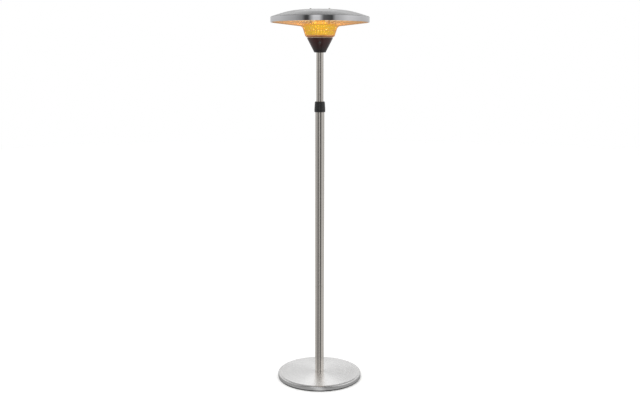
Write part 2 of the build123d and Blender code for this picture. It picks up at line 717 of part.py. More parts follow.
def post_collars():
    spots = on_circle(POST_CIRCLE_R, POST_ANGLES)
    return group(ring(POST_R + FIT, COLLAR_RING_R, REFLECTOR_Z - COLLAR_RING, REFLECTOR_Z, x, y)
                 for x, y in spots)


def hood_spacers():
    low = REFLECTOR_Z + REFLECTOR_SHEET
    spots = on_circle(POST_CIRCLE_R, POST_ANGLES)
    return group(ring(POST_R + CLEAR, SPACER_R, low, POST_TOP, x, y) for x, y in spots)


# ---- reflector and hood ----------------------------------------------------------------------------
def reflector():
    """A shallow dish that falls to its rim, where the edge is turned up."""
    sheet = REFLECTOR_SHEET
    rim_top = REFLECTOR_EDGE_Z + REFLECTOR_LIP
    dish = lathe([(0, REFLECTOR_Z), (REFLECTOR_FLAT_R, REFLECTOR_Z), (REFLECTOR_R, REFLECTOR_EDGE_Z, 1.2),
                  (REFLECTOR_R, rim_top), (REFLECTOR_R - sheet, rim_top),
                  (REFLECTOR_R - sheet, REFLECTOR_EDGE_Z + sheet), (REFLECTOR_FLAT_R, REFLECTOR_Z + sheet),
                  (0, REFLECTOR_Z + sheet)])
    for x, y in on_circle(POST_CIRCLE_R, POST_ANGLES):
        dish -= disc(POST_R + 2 * CLEAR, CONE_LOW, HOOD_TOP, x, y)
    return dish


def hood():
    """Spun sheet: a flat crown, a rounder shoulder, a straight slope, a bend and a short skirt."""
    crown_z = HOOD_TOP - CROWN_R
    s1, c1 = sin(CROWN_ANGLE), cos(CROWN_ANGLE)
    s2, c2 = sin(SHOULDER_ANGLE), cos(SHOULDER_ANGLE)
    shoulder_r = (SHOULDER_OUT - CROWN_R * s1) / (s2 - s1)
    shoulder = ((CROWN_R - shoulder_r) * s1, crown_z + (CROWN_R - shoulder_r) * c1)
    slope_end_r = HOOD_R - HOOD_BEND * (1 - s2)
    slope_end_z = shoulder[1] + shoulder_r * c2 - (slope_end_r - SHOULDER_OUT) * tan(SHOULDER_ANGLE)
    bend = (slope_end_r - HOOD_BEND * s2, slope_end_z - HOOD_BEND * c2)

    def on_arc(centre, radius, angle):
        return (centre[0] + radius * sin(angle), 0, centre[1] + radius * cos(angle))

    def face_line(inset):
        """The crown, shoulder, slope, bend and skirt of one face of the sheet."""
        crown = CROWN_R - inset
        arcs = [((0, crown_z), crown, 0.0, CROWN_ANGLE),
                (shoulder, shoulder_r - inset, CROWN_ANGLE, SHOULDER_ANGLE),
                (bend, HOOD_BEND - inset, SHOULDER_ANGLE, radians(90))]
        edges = []
        for centre, radius, first, last in arcs:
            points = [on_arc(centre, radius, first + share * (last - first)) for share in (0, 0.5, 1)]
            if edges and (edges[-1] @ 1 - Vector(*points[0])).length > 0.01:
                edges.append(Edge.make_line(edges[-1] @ 1, points[0]))
            edges.append(ThreePointArc(*points).edge())
        edges.append(Edge.make_line(edges[-1] @ 1, (HOOD_R - inset, 0, HOOD_SKIRT_LOW)))
        return edges

    outer, inner = face_line(0.0), face_line(HOOD_SHEET)
    ends = [Edge.make_line(outer[-1] @ 1, inner[-1] @ 1), Edge.make_line(outer[0] @ 0, inner[0] @ 0)]
    shell = revolve(make_face(Wire(outer + ends + inner)), Axis.Z)
    for x, y in on_circle(POST_CIRCLE_R, POST_ANGLES):
        shell -= disc(POST_THREAD_R + 2 * CLEAR, REFLECTOR_Z, HOOD_TOP + 5, x, y)
    return shell


def rim_band():
    inner = HOOD_R + FIT
    return lathe([(inner, BAND_TOP), (BAND_R, BAND_TOP), (BAND_R, BAND_LOW, 0.8), (BAND_LIP_R, BAND_LOW),
                  (BAND_LIP_R, BAND_LOW + BAND_LIP), (inner, BAND_LOW + BAND_LIP)])


WASHER_LOW = hood_point(POST_CIRCLE_R - WASHER_R)


def hood_washers():
    bore = POST_THREAD_R + 2 * CLEAR
    top = WASHER_LOW + WASHER
    spots = on_circle(POST_CIRCLE_R, POST_ANGLES)
    return group(ring(bore, WASHER_R, WASHER_LOW, top, x, y) for x, y in spots)


def hood_screws():
    low = WASHER_LOW + WASHER
    head = lathe([(0, low), (HOOD_SCREW_HEAD_R, low), (HOOD_SCREW_HEAD_R, low + HOOD_SCREW_HEAD, 2.2),
                  (0, low + HOOD_SCREW_HEAD)]) - hexagon(3.0, low + 1.2, low + 4)
    screw = head + disc(POST_STUD_R, POST_TOP - POST_THREAD + 1, low)
    return group(Pos(x, y, 0) * screw for x, y in on_circle(POST_CIRCLE_R, POST_ANGLES))


# ---- guard ------------------------------------------------------------------------------------------
def neck_r(z):
    """The radius of the guard wire's centre line on the neck."""
    return NECK_LOW_R + NECK_LEAN * (z - NECK_LOW_Z)


def flare_z(r):
    """The height of the guard wire's centre line on the flare."""
    return FLARE_Z + FLARE_RISE * (r - FLARE_R)


def guard_corner(inset):
    """Where the neck and flare lines meet, moved into the lamp space by an inset."""
    neck = NECK_LOW_R - inset / cos(atan(NECK_LEAN))
    flare = FLARE_Z + inset / cos(atan(FLARE_RISE))
    r = (neck + NECK_LEAN * (flare - FLARE_RISE * FLARE_R - NECK_LOW_Z)) / (1 - NECK_LEAN * FLARE_RISE)
    return r, flare + FLARE_RISE * (r - FLARE_R)


def guard_wires():
    corner_r, corner_z = guard_corner(0.0)
    path = FilletPolyline((neck_r(WIRE_START_Z), 0, WIRE_START_Z), (corner_r, 0, corner_z),
                          (WIRE_END_R, 0, flare_z(WIRE_END_R)), radius=WIRE_BEND)
    wire = swept(path, WIRE_R)
    return group(Rot(0, 0, a) * wire for a in even_angles(WIRE_COUNT, 180 / WIRE_COUNT))


def guard_rings():
    inset = 2 * WIRE_R - WELD
    neck_inset = inset / cos(atan(NECK_LEAN))
    flare_inset = inset / cos(atan(FLARE_RISE))
    rings = [Pos(0, 0, z) * Torus(neck_r(z) - neck_inset, WIRE_R) for z in NECK_RING_HEIGHTS]
    rings += [Pos(0, 0, flare_z(r) + flare_inset) * Torus(r, WIRE_R) for r in FLARE_RING_RADII]
    return group(rings)


def guard_clips():
    half = (-CLIP_HALF, CLIP_HALF)
    plate = block((CLIP_IN, CLIP_OUT), half, (CLIP_Z, CLIP_Z + CLIP_SHEET))
    leg = block((CLIP_OUT - CLIP_SHEET, CLIP_OUT), half, (BAND_LOW + BAND_LIP + FIT, CLIP_Z))
    clip = (plate + leg) & disc(CLIP_OUT, BAND_LOW, CLIP_Z + 2)
    return group(Rot(0, 0, a) * clip for a in even_angles(CLIP_COUNT, 30))


def lamp_screen():
    def corner(inset):
        return guard_corner(inset) + (WIRE_BEND + inset,)

    def low_r(inset):
        return neck_r(SCREEN_LOW) - inset / cos(atan(NECK_LEAN))

    def out_z(inset):
        return flare_z(SCREEN_OUT) + inset / cos(atan(FLARE_RISE))

    near, far = SCREEN_OFFSET, SCREEN_OFFSET + SCREEN_SHEET
    return lathe([(low_r(near), SCREEN_LOW), corner(near), (SCREEN_OUT, out_z(near)),
                  (SCREEN_OUT, out_z(far)), corner(far), (low_r(far), SCREEN_LOW)])


PARTS = {
    "base_pan": base_pan,
    "base_weight": base_weight,
    "base_cover": base_cover,
    "base_feet": base_feet,
    "base_screws": base_screws,
    "base_washer": base_washer,
    "base_bolt": base_bolt,
    "foot_insert": foot_insert,
    "pole_bottom": pole_bottom,
    "pole_middle": lambda: pole_tube(JOINT_1, JOINT_2),
    "pole_top": lambda: pole_tube(JOINT_2, POLE_TOP),
    "lower_joint_socket": lambda: joint_socket(JOINT_1),
    "lower_joint_plug": lambda: joint_plug(JOINT_1),
    "upper_joint_socket": lambda: joint_socket(JOINT_2),
    "upper_joint_plug": lambda: joint_plug(JOINT_2),
    "cord_grommet": cord_grommet,
    "collar_body": collar_body,
    "collar_nut": collar_nut,
    "guide_bush": guide_bush,
    "upper_tube": upper_tube,
    "housing": housing,
    "housing_screws": housing_screws,
    "housing_lid": housing_lid,
    "lid_screws": lid_screws,
    "button_bezel": button_bezel,
    "power_button": power_button,
    "step_switch": step_switch,
    "terminal_block": terminal_block,
    "tilt_switch": tilt_switch,
    "insulating_disc": insulating_disc,
    "lamp_tray": lamp_tray,
    "tray_screws": tray_screws,
    "tray_nuts": tray_nuts,
    "reflector_column": reflector_column,
    "lamp_bracket": lamp_bracket,
    "lamp_lower": lambda: lamp(LAMP_HEIGHTS[0]),
    "lamp_middle": lambda: lamp(LAMP_HEIGHTS[1]),
    "lamp_upper": lambda: lamp(LAMP_HEIGHTS[2]),
    "filaments": filaments,
    "lamp_caps": lamp_caps,
    "lamp_leads": lamp_leads,
    "support_posts": support_posts,
    "post_nuts": post_nuts,
    "post_collars": post_collars,
    "hood_spacers": hood_spacers,
    "reflector": reflector,
    "hood": hood,
    "rim_band": rim_band,
    "hood_washers": hood_washers,
    "hood_screws": hood_screws,
    "guard_wires": guard_wires,
    "guard_rings": guard_rings,
    "guard_clips": guard_clips,
    "lamp_screen": lamp_screen,
}

for name, make in PARTS.items():
    export_step(make(), f"parts/{name}.step")
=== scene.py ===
import json
import logging
import math
from dataclasses import dataclass
from enum import Enum
from typing import Any, Sequence

import bpy
import numpy as np
from mathutils import Matrix, Vector


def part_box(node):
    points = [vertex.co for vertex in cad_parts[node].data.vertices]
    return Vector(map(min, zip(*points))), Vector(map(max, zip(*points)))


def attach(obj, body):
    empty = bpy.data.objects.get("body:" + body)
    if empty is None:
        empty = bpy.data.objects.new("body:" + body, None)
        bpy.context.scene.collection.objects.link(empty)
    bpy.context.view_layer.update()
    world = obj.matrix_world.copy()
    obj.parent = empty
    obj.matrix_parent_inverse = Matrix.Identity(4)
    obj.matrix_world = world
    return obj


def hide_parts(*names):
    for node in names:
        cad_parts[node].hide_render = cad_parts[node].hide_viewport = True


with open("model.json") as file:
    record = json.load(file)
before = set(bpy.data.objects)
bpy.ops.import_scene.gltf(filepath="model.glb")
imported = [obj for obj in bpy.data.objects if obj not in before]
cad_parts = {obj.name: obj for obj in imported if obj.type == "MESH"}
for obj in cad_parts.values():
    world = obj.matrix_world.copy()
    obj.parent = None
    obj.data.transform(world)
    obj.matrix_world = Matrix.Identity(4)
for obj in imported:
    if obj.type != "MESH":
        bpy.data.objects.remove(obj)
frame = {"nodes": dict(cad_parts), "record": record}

# The looks of a free-standing electric patio heater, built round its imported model.
# Metres, +Z up, the front faces -Y. The origin is the centre of the base, on the floor.

log = logging.getLogger("patio_heater")
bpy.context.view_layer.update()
RECORD = frame["record"]
BODY_OF = {node: body for body, nodes in RECORD["behaviour"]["bodies"].items() for node in nodes}
SLOT_OF = {part["node"]: part["material_slot"] for part in RECORD["subparts"]}
TURN = 2 * math.pi
UP, BACK = np.array([0.0, 0.0, 1.0]), np.array([0.0, 1.0, 0.0])
SAME_POINT_DIGITS = 7
FINE_SEGMENTS = 256

Surface = tuple[np.ndarray, np.ndarray]
Colour = tuple[float, float, float]


# ---- surfaces ---------------------------------------------------------------------------------
def unit(vectors: np.ndarray) -> np.ndarray:
    """Scales vectors to length one."""
    return vectors / np.linalg.norm(vectors, axis=-1, keepdims=True)


def arc(centre: Sequence[float], radius: float, first: float, last: float, steps: int) -> np.ndarray:
    """Points of an arc: centre + radius * (cos, sin) of an angle that runs evenly from first to last."""
    angle = np.linspace(first, last, steps)
    return np.stack([centre[0] + radius * np.cos(angle), centre[1] + radius * np.sin(angle)], -1)


def fillet(before: np.ndarray, corner: np.ndarray, after: np.ndarray, radius: float, steps: int) -> np.ndarray:
    """Rounds a corner with an arc that is tangent to both its sides.

    The centre lies on the corner's bisector, radius / sin(half angle) away. The arc is the even turn from
    one tangent point to the other, each radius / tan(half angle) from the corner.

    Args:
        before: The point before the corner.
        corner: The corner.
        after: The point after the corner.
        radius: The arc's radius.
        steps: How many points the arc has.

    Returns:
        The arc's points, (steps, 2).
    """
    back, on = unit(before - corner), unit(after - corner)
    half = 0.5 * math.acos(float(np.clip(back @ on, -1.0, 1.0)))
    centre = corner + unit(back + on) * radius / math.sin(half)
    start = corner + back * radius / math.tan(half) - centre
    end = corner + on * radius / math.tan(half) - centre
    swing = math.pi - 2 * half
    share = np.linspace(0, 1, steps)[:, None]
    return centre + (np.sin((1 - share) * swing) * start + np.sin(share * swing) * end) / math.sin(swing)


def outline(corners: Sequence[tuple[float, ...]], closed: bool = True, steps: int = 8) -> np.ndarray:
    """A section of straight runs joined by tangent arcs.

    Args:
        corners: (radius, height) or (radius, height, fillet) for each corner.
        closed: Whether the last run goes back to the first corner.
        steps: How many points each arc has.

    Returns:
        The section's points, (n, 2).
    """
    points = np.array([corner[:2] for corner in corners], float)
    runs = []
    for i, corner in enumerate(corners):
        if len(corner) > 2:
            after = points[(i + 1) % len(points)]
            runs.append(fillet(points[i - 1], points[i], after, corner[2], steps))
        else:
            runs.append(points[i:i + 1])
    if closed:
        runs.append(runs[0][:1])
    return np.concatenate(runs)


def skin(grid: np.ndarray) -> Surface:
    """Triangles over a grid of points, with seams and poles merged and faces outwards.

    Points that coincide become one, so a cell with a repeated corner loses a triangle. The enclosed volume is
    the sum of a . (b x c) / 6 over the triangles, and its sign says which way they face.

    Args:
        grid: Points, (rows, columns, 3).

    Returns:
        The points and the triangles.
    """
    rows, columns = grid.shape[:2]
    flat = grid.reshape(-1, 3)
    _, kept, same = np.unique(np.round(flat, SAME_POINT_DIGITS), axis=0, return_index=True, return_inverse=True)
    index = same.reshape(rows, columns)
    cells = np.stack([index[:-1, :-1], index[1:, :-1], index[1:, 1:], index[:-1, 1:]], -1).reshape(-1, 4)
    faces = np.concatenate([cells[:, [0, 1, 2]], cells[:, [0, 2, 3]]])
    whole = (faces[:, 0] != faces[:, 1]) & (faces[:, 1] != faces[:, 2]) & (faces[:, 0] != faces[:, 2])
    faces, points = faces[whole], flat[kept]
    a, b, c = points[faces[:, 0]], points[faces[:, 1]], points[faces[:, 2]]
    volume = np.einsum("ij,ij->", a, np.cross(b, c)) / 6
    return points, faces if volume > 0 else faces[:, ::-1]


def turned(section: np.ndarray, segments: int = 128) -> Surface:
    """Turns a closed section about Z: a point (r, z) becomes (r cos a, r sin a, z) at each angle a.

    Args:
        section: (r, z) points, the last the same as the first.
        segments: How many steps go round.

    Returns:
        The points and the triangles.
    """
    angle = np.linspace(0, TURN, segments + 1)
    radius, height = section[:, :1], np.repeat(section[:, 1:], segments + 1, 1)
    return skin(np.stack([radius * np.cos(angle), radius * np.sin(angle), height], -1))


def sides_of(path: np.ndarray, up: np.ndarray, closed: bool) -> tuple[np.ndarray, np.ndarray]:
    """The two directions across a path: side = up x tangent, and lift = tangent x side.

    Args:
        path: Points of the centre line, (n, 3).
        up: A direction across the path, or one for each point.
        closed: Whether the path ends where it starts.

    Returns:
        The side and the lift at each point.
    """
    ahead = np.roll(path, -1, 0) - np.roll(path, 1, 0) if closed else np.gradient(path, axis=0)
    tangent = unit(ahead)
    side = unit(np.cross(up, tangent))
    return side, np.cross(tangent, side)


def carried(path: np.ndarray, radius: float, sides: int, up: np.ndarray, closed: bool = False,
            bore: float = 0.0) -> Surface:
    """A round section carried along a path.

    At each point of the path the section is radius * (cos t * side + sin t * lift). An open end closes on its
    centre, and with a bore the inner wall runs back along the path and joins the outer one.

    Args:
        path: Points of the centre line, (n, 3).
        radius: The section's radius.
        sides: How many sides the section has.
        up: A direction across the path, or one for each point.
        closed: Whether the path ends where it starts.
        bore: The radius of the hole along the path, or 0 for a solid bar.

    Returns:
        The points and the triangles.
    """
    side, lift = sides_of(path, up, closed)
    around_it = np.linspace(0, TURN, sides + 1)[None, :, None]
    ring = np.cos(around_it) * side[:, None] + np.sin(around_it) * lift[:, None]
    grid = path[:, None] + radius * ring
    if closed:
        return skin(np.concatenate([grid, grid[:1]]))
    if bore:
        return skin(np.concatenate([grid, (path[:, None] + bore * ring)[::-1], grid[:1]]))
    ends = [np.repeat(path[i:i + 1, None], sides + 1, 1) for i in (0, len(path) - 1)]
    return skin(np.concatenate([ends[0], grid, ends[1]]))


def bead(centre: Sequence[float], size: Sequence[float], sides: int = 8) -> Surface:
    """An ellipsoid: centre + size * (sin v cos u, sin v sin u, cos v).

    Args:
        centre: Its centre.
        size: Its three half widths.
        sides: How many steps u takes. v takes half as many.

    Returns:
        The points and the triangles.
    """
    u = np.linspace(0, TURN, sides + 1)
    v = np.linspace(0, math.pi, sides // 2 + 1)[:, None]
    ball = np.stack([np.sin(v) * np.cos(u), np.sin(v) * np.sin(u), np.cos(v) + 0 * u], -1)
    return skin(np.asarray(centre) + np.asarray(size) * ball)


def around(surface: Surface, angles: np.ndarray) -> Surface:
    """Copies turned about Z: x' = x cos a - y sin a, and y' = x sin a + y cos a.

    Args:
        surface: The points and triangles to copy.
        angles: The angle of each copy.

    Returns:
        All the copies as one surface.
    """
    points, faces = surface
    cos, sin = np.cos(angles)[:, None], np.sin(angles)[:, None]
    x, y = points[:, 0], points[:, 1]
    height = np.broadcast_to(points[:, 2], (len(angles), len(points)))
    copies = np.stack([cos * x - sin * y, sin * x + cos * y, height], -1)
    numbered = faces + len(points) * np.arange(len(angles))[:, None, None]
    return copies.reshape(-1, 3), numbered.reshape(-1, 3)


def joined(surfaces: Sequence[Surface]) -> Surface:
    """Several surfaces as one, the faces of each renumbered after the points before it.

    Args:
        surfaces: The surfaces to join.

    Returns:
        The one surface.
    """
    starts = np.cumsum([0] + [len(points) for points, _ in surfaces[:-1]])
    faces = [faces + start for (_, faces), start in zip(surfaces, starts)]
    return np.concatenate([points for points, _ in surfaces]), np.concatenate(faces)


def spaced(line: np.ndarray, count: int = 0, density: float = 0.0) -> tuple[np.ndarray, np.ndarray]:
    """Points at even distances along a line of straight runs.

    Args:
        line: The line's points, (n, d).
        count: How many points to make, or 0 to go by the density.
        density: Points per metre.

    Returns:
        The points, (count, d), and how far along the line each lies.
    """
    run = np.concatenate([[0], np.cumsum(np.linalg.norm(np.diff(line, axis=0), axis=1))])
    along = np.linspace(0, run[-1], count or int(run[-1] * density))
    return np.stack([np.interp(along, run, part) for part in line.T], -1), along


def standing(line: np.ndarray) -> np.ndarray:
    """Puts a line of (r, z) points in the plane of X and Z."""
    return np.column_stack([line[:, 0], np.zeros(len(line)), line[:, 1]])


def put(name: str, data: Any) -> bpy.types.Object:
    """Makes an object of a mesh, a light or a camera, and puts it in the scene.

    Args:
        name: The object's name.
        data: Its mesh, light or camera.

    Returns:
        The object.
    """
    made = bpy.data.objects.new(name, data)
    bpy.context.scene.collection.objects.link(made)
    return made


# ---- shader tools -----------------------------------------------------------------------------
class Tree:
    """Adds nodes and links to a node tree."""

    def __init__(self, tree: bpy.types.NodeTree) -> None:
        """Takes the tree that the nodes go into."""
        self.tree = tree

    def node(self, kind: str, inputs: dict[Any, Any] | None = None, **fields: Any) -> bpy.types.Node:
        """Adds a node.

        Args:
            kind: Blender's name for the node's type.
            inputs: A value or a socket to link, for each input's name or number.
            fields: The node's own settings.

        Returns:
            The node.
        """
        made = self.tree.nodes.new(kind)
        for name, value in fields.items():
            setattr(made, name, value)
        for name, value in (inputs or {}).items():
            if isinstance(value, bpy.types.NodeSocket):
                self.tree.links.new(value, made.inputs[name])
            else:
                made.inputs[name].default_value = value
        return made

    def math(self, operation: str, *values: Any) -> bpy.types.NodeSocket:
        """The result of a Math node on values or sockets."""
        return self.node("ShaderNodeMath", dict(enumerate(values)), operation=operation).outputs[0]

    def total(self, *pairs: tuple[Any, Any]) -> bpy.types.NodeSocket:
        """The sum of two values, each times its weight."""
        first, second = (self.math("MULTIPLY", value, weight) for value, weight in pairs)
        return self.math("ADD", first, second)

    def length(self, *parts: Any) -> bpy.types.NodeSocket:
        """The square root of the sum of the parts' squares.

        Args:
            parts: Values or sockets.

        Returns:
            The root's socket.
        """
        whole, *others = [self.math("MULTIPLY", part, part) for part in parts]
        for square in others:
            whole = self.math("ADD", whole, square)
        return self.math("SQRT", whole)

    def span(self, value: Any, low: Any, high: Any, to_low: float = 0.0,
             to_high: float = 1.0) -> bpy.types.NodeSocket:
        """A smooth step of a value from low to high, as a number from to_low to to_high."""
        inputs = {"Value": value, "From Min": low, "From Max": high, "To Min": to_low, "To Max": to_high}
        return self.node("ShaderNodeMapRange", inputs, interpolation_type="SMOOTHSTEP").outputs[0]

    def blend(self, share: Any, first: Any, second: Any) -> bpy.types.NodeSocket:
        """A mix of two colours.

        Args:
            share: How much of the second colour there is.
            first: The first colour, or its socket.
            second: The second colour, or its socket.

        Returns:
            The mixed colour's socket.
        """
        made = self.node("ShaderNodeMix", {0: share}, data_type="RGBA")
        for number, value in ((6, first), (7, second)):
            if isinstance(value, bpy.types.NodeSocket):
                self.tree.links.new(value, made.inputs[number])
            else:
                made.inputs[number].default_value = (*value, 1.0)
        return made.outputs[2]

    def noise(self, vector: Any, scale: Any, detail: float = 3.0, rough: float = 0.55) -> bpy.types.NodeSocket:
        """A noise texture's value."""
        inputs = {"Vector": vector, "Scale": scale, "Detail": detail, "Roughness": rough}
        return self.node("ShaderNodeTexNoise", inputs).outputs[0]


def cleared_tree(owner: Any) -> Tree:
    """The node tree of a new material or world, emptied.

    Args:
        owner: The material or the world.

    Returns:
        The tree, ready for nodes.
    """
    owner.use_nodes = True
    owner.node_tree.nodes.clear()
    return Tree(owner.node_tree)


class Effect:
    """A shader effect that several materials share, as one node group."""

    def __init__(self, name: str, inputs: dict[str, Any], outputs: Sequence[str]) -> None:
        """Makes an empty group with its sockets.

        Args:
            name: The group's name.
            inputs: A default for each input; None makes it a vector.
            outputs: The names of the values that it puts out.
        """
        self.group = bpy.data.node_groups.new(name, "ShaderNodeTree")
        for socket, default in inputs.items():
            kind = "NodeSocketVector" if default is None else "NodeSocketFloat"
            made = self.group.interface.new_socket(socket, in_out="INPUT", socket_type=kind)
            if default is not None:
                made.default_value = default
        for socket in outputs:
            self.group.interface.new_socket(socket, in_out="OUTPUT", socket_type="NodeSocketFloat")
        self.tree = Tree(self.group)
        self.given = self.group.nodes.new("NodeGroupInput").outputs
        self.result = self.group.nodes.new("NodeGroupOutput").inputs

    def put_out(self, **values: bpy.types.NodeSocket) -> "Effect":
        """Links values to the group's outputs.

        Args:
            values: A socket for each output's name.

        Returns:
            This effect.
        """
        for name, value in values.items():
            self.group.links.new(value, self.result[name])
        return self

    def place(self, tree: Tree, **inputs: Any) -> Any:
        """Places the group in a tree, and returns its outputs."""
        return tree.node("ShaderNodeGroup", inputs, node_tree=self.group).outputs


def lathe_lines() -> Effect:
    """Fine rings left by spinning or polishing: noise that is quick along radius and height, slow round the axis.

    Returns:
        The group, which puts out a mask and a height.
    """
    effect = Effect("lathe_lines", {"Vector": None, "Lines": 900.0}, ("Mask", "Height"))
    tree, given = effect.tree, effect.given
    least_radius, height_share, round_rate, broad_scale = 0.004, 1.3, 1.6, 0.08
    x, y, z = tree.node("ShaderNodeSeparateXYZ", {0: given["Vector"]}).outputs
    radius = tree.length(x, y)
    reach = tree.math("MAXIMUM", radius, least_radius)
    run = tree.math("ADD", radius, tree.math("MULTIPLY", z, height_share))
    across = tree.math("MULTIPLY", run, given["Lines"])
    round_x, round_y = (tree.math("MULTIPLY", tree.math("DIVIDE", part, reach), round_rate) for part in (x, y))
    ringed = tree.node("ShaderNodeCombineXYZ", {0: across, 1: round_x, 2: round_y}).outputs[0]
    fine = tree.noise(ringed, 1.0, 4.0, 0.7)
    broad = tree.noise(ringed, broad_scale, 2.0)
    return effect.put_out(Mask=tree.span(tree.total((fine, 0.65), (broad, 0.35)), 0.3, 0.7), Height=fine)


def moulded_grain() -> Effect:
    """The fine pebbled grain of moulded plastic, powder coat or a casting.

    Returns:
        The group, which puts out a mask and a height.
    """
    effect = Effect("moulded_grain", {"Vector": None, "Size": 0.0006}, ("Mask", "Height"))
    tree, given = effect.tree, effect.given
    scale, cloud_share = tree.math("DIVIDE", 1.0, given["Size"]), 0.12
    cells = tree.node("ShaderNodeTexVoronoi", {"Vector": given["Vector"], "Scale": scale}).outputs[0]
    cloud = tree.noise(given["Vector"], tree.math("MULTIPLY", scale, cloud_share), 3.0)
    return effect.put_out(Mask=tree.span(cloud, 0.35, 0.65), Height=tree.total((cells, 0.6), (cloud, 0.4)))


def handling_marks() -> Effect:
    """Soft smears and wipe marks from handling and rain: broad noise broken up by fine noise.

    Returns:
        The group, which puts out a mask.
    """
    effect = Effect("handling_marks", {"Vector": None, "Scale": 9.0}, ("Mask",))
    tree, given, fine_ratio = effect.tree, effect.given, 7.0
    broad = tree.noise(given["Vector"], given["Scale"], 4.0, 0.6)
    fine = tree.noise(given["Vector"], tree.math("MULTIPLY", given["Scale"], fine_ratio), 5.0, 0.65)
    both = tree.math("MULTIPLY", tree.span(broad, 0.42, 0.68), tree.span(fine, 0.3, 0.75))
    return effect.put_out(Mask=both)


def edge_wear() -> Effect:
    """Rubbed outer edges: where the surface is sharply convex, broken up by noise.

    Returns:
        The group, which puts out a mask.
    """
    effect = Effect("edge_wear", {"Vector": None, "Amount": 0.5}, ("Mask",))
    tree, given, patch_scale = effect.tree, effect.given, 160.0
    sharp = tree.node("ShaderNodeNewGeometry").outputs["Pointiness"]
    patches = tree.noise(given["Vector"], patch_scale, 4.0)
    worn = tree.math("MULTIPLY", tree.span(sharp, 0.515, 0.62), tree.span(patches, 0.35, 0.6))
    return effect.put_out(Mask=tree.math("MULTIPLY", worn, given["Amount"]))


def settled_dust() -> Effect:
    """Thin dust on faces that look up.

    Returns:
        The group, which puts out a mask.
    """
    effect = Effect("settled_dust", {"Vector": None, "Amount": 0.1}, ("Mask",))
    tree, given, speck_scale = effect.tree, effect.given, 60.0
    normal = tree.node("ShaderNodeNewGeometry").outputs["Normal"]
    up = tree.node("ShaderNodeSeparateXYZ", {0: normal}).outputs[2]
    specks = tree.noise(given["Vector"], speck_scale, 6.0, 0.7)
    dust = tree.math("MULTIPLY", tree.span(up, 0.75, 1.0), tree.span(specks, 0.3, 0.75))
    return effect.put_out(Mask=tree.math("MULTIPLY", dust, given["Amount"]))


def heat_and_glow_mask() -> Effect:
    """How near a surface lies to the lamps, for heat colouring and for painted lamp glow: 1 beside the lamps, 0 a
    span away.

    Returns:
        The group, which puts out a mask.
    """
    effect = Effect("heat_and_glow_mask", {"Vector": None, "Near": 0.07, "Far": 0.2}, ("Mask",))
    tree, given = effect.tree, effect.given
    x, y, z = tree.node("ShaderNodeSeparateXYZ", {0: given["Vector"]}).outputs
    patch_scale, ragged = 30.0, 0.04
    away = tree.length(x, y, tree.math("SUBTRACT", z, LAMP_MIDDLE))
    patches = tree.math("SUBTRACT", tree.noise(given["Vector"], patch_scale, 3.0), 0.5)
    away = tree.math("ADD", away, tree.math("MULTIPLY", patches, ragged))
    return effect.put_out(Mask=tree.span(away, given["Near"], given["Far"], 1.0, 0.0))


LAMP_LOW, LAMP_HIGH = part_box("lamp_lower")[0].z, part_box("lamp_upper")[1].z
LAMP_MIDDLE = (LAMP_LOW + LAMP_HIGH) / 2
LATHE_LINES, MOULDED_GRAIN = lathe_lines(), moulded_grain()
HANDLING_MARKS, EDGE_WEAR = handling_marks(), edge_wear()
SETTLED_DUST, HEAT_AND_GLOW_MASK = settled_dust(), heat_and_glow_mask()
DUST_COLOUR: Colour = (0.42, 0.39, 0.35)
PATTERN_ROUGHENS, MARKS_ROUGHEN, DUST_ROUGHENS = 0.6, 0.5, 0.4
BUMP_STRENGTH = 0.6
DIM_GLOW = 0.75


# ---- finishes ---------------------------------------------------------------------------------
class Texture(Enum):
    """How a surface was made, which gives it its fine pattern."""

    TURNED = "turned"
    GRAINED = "grained"


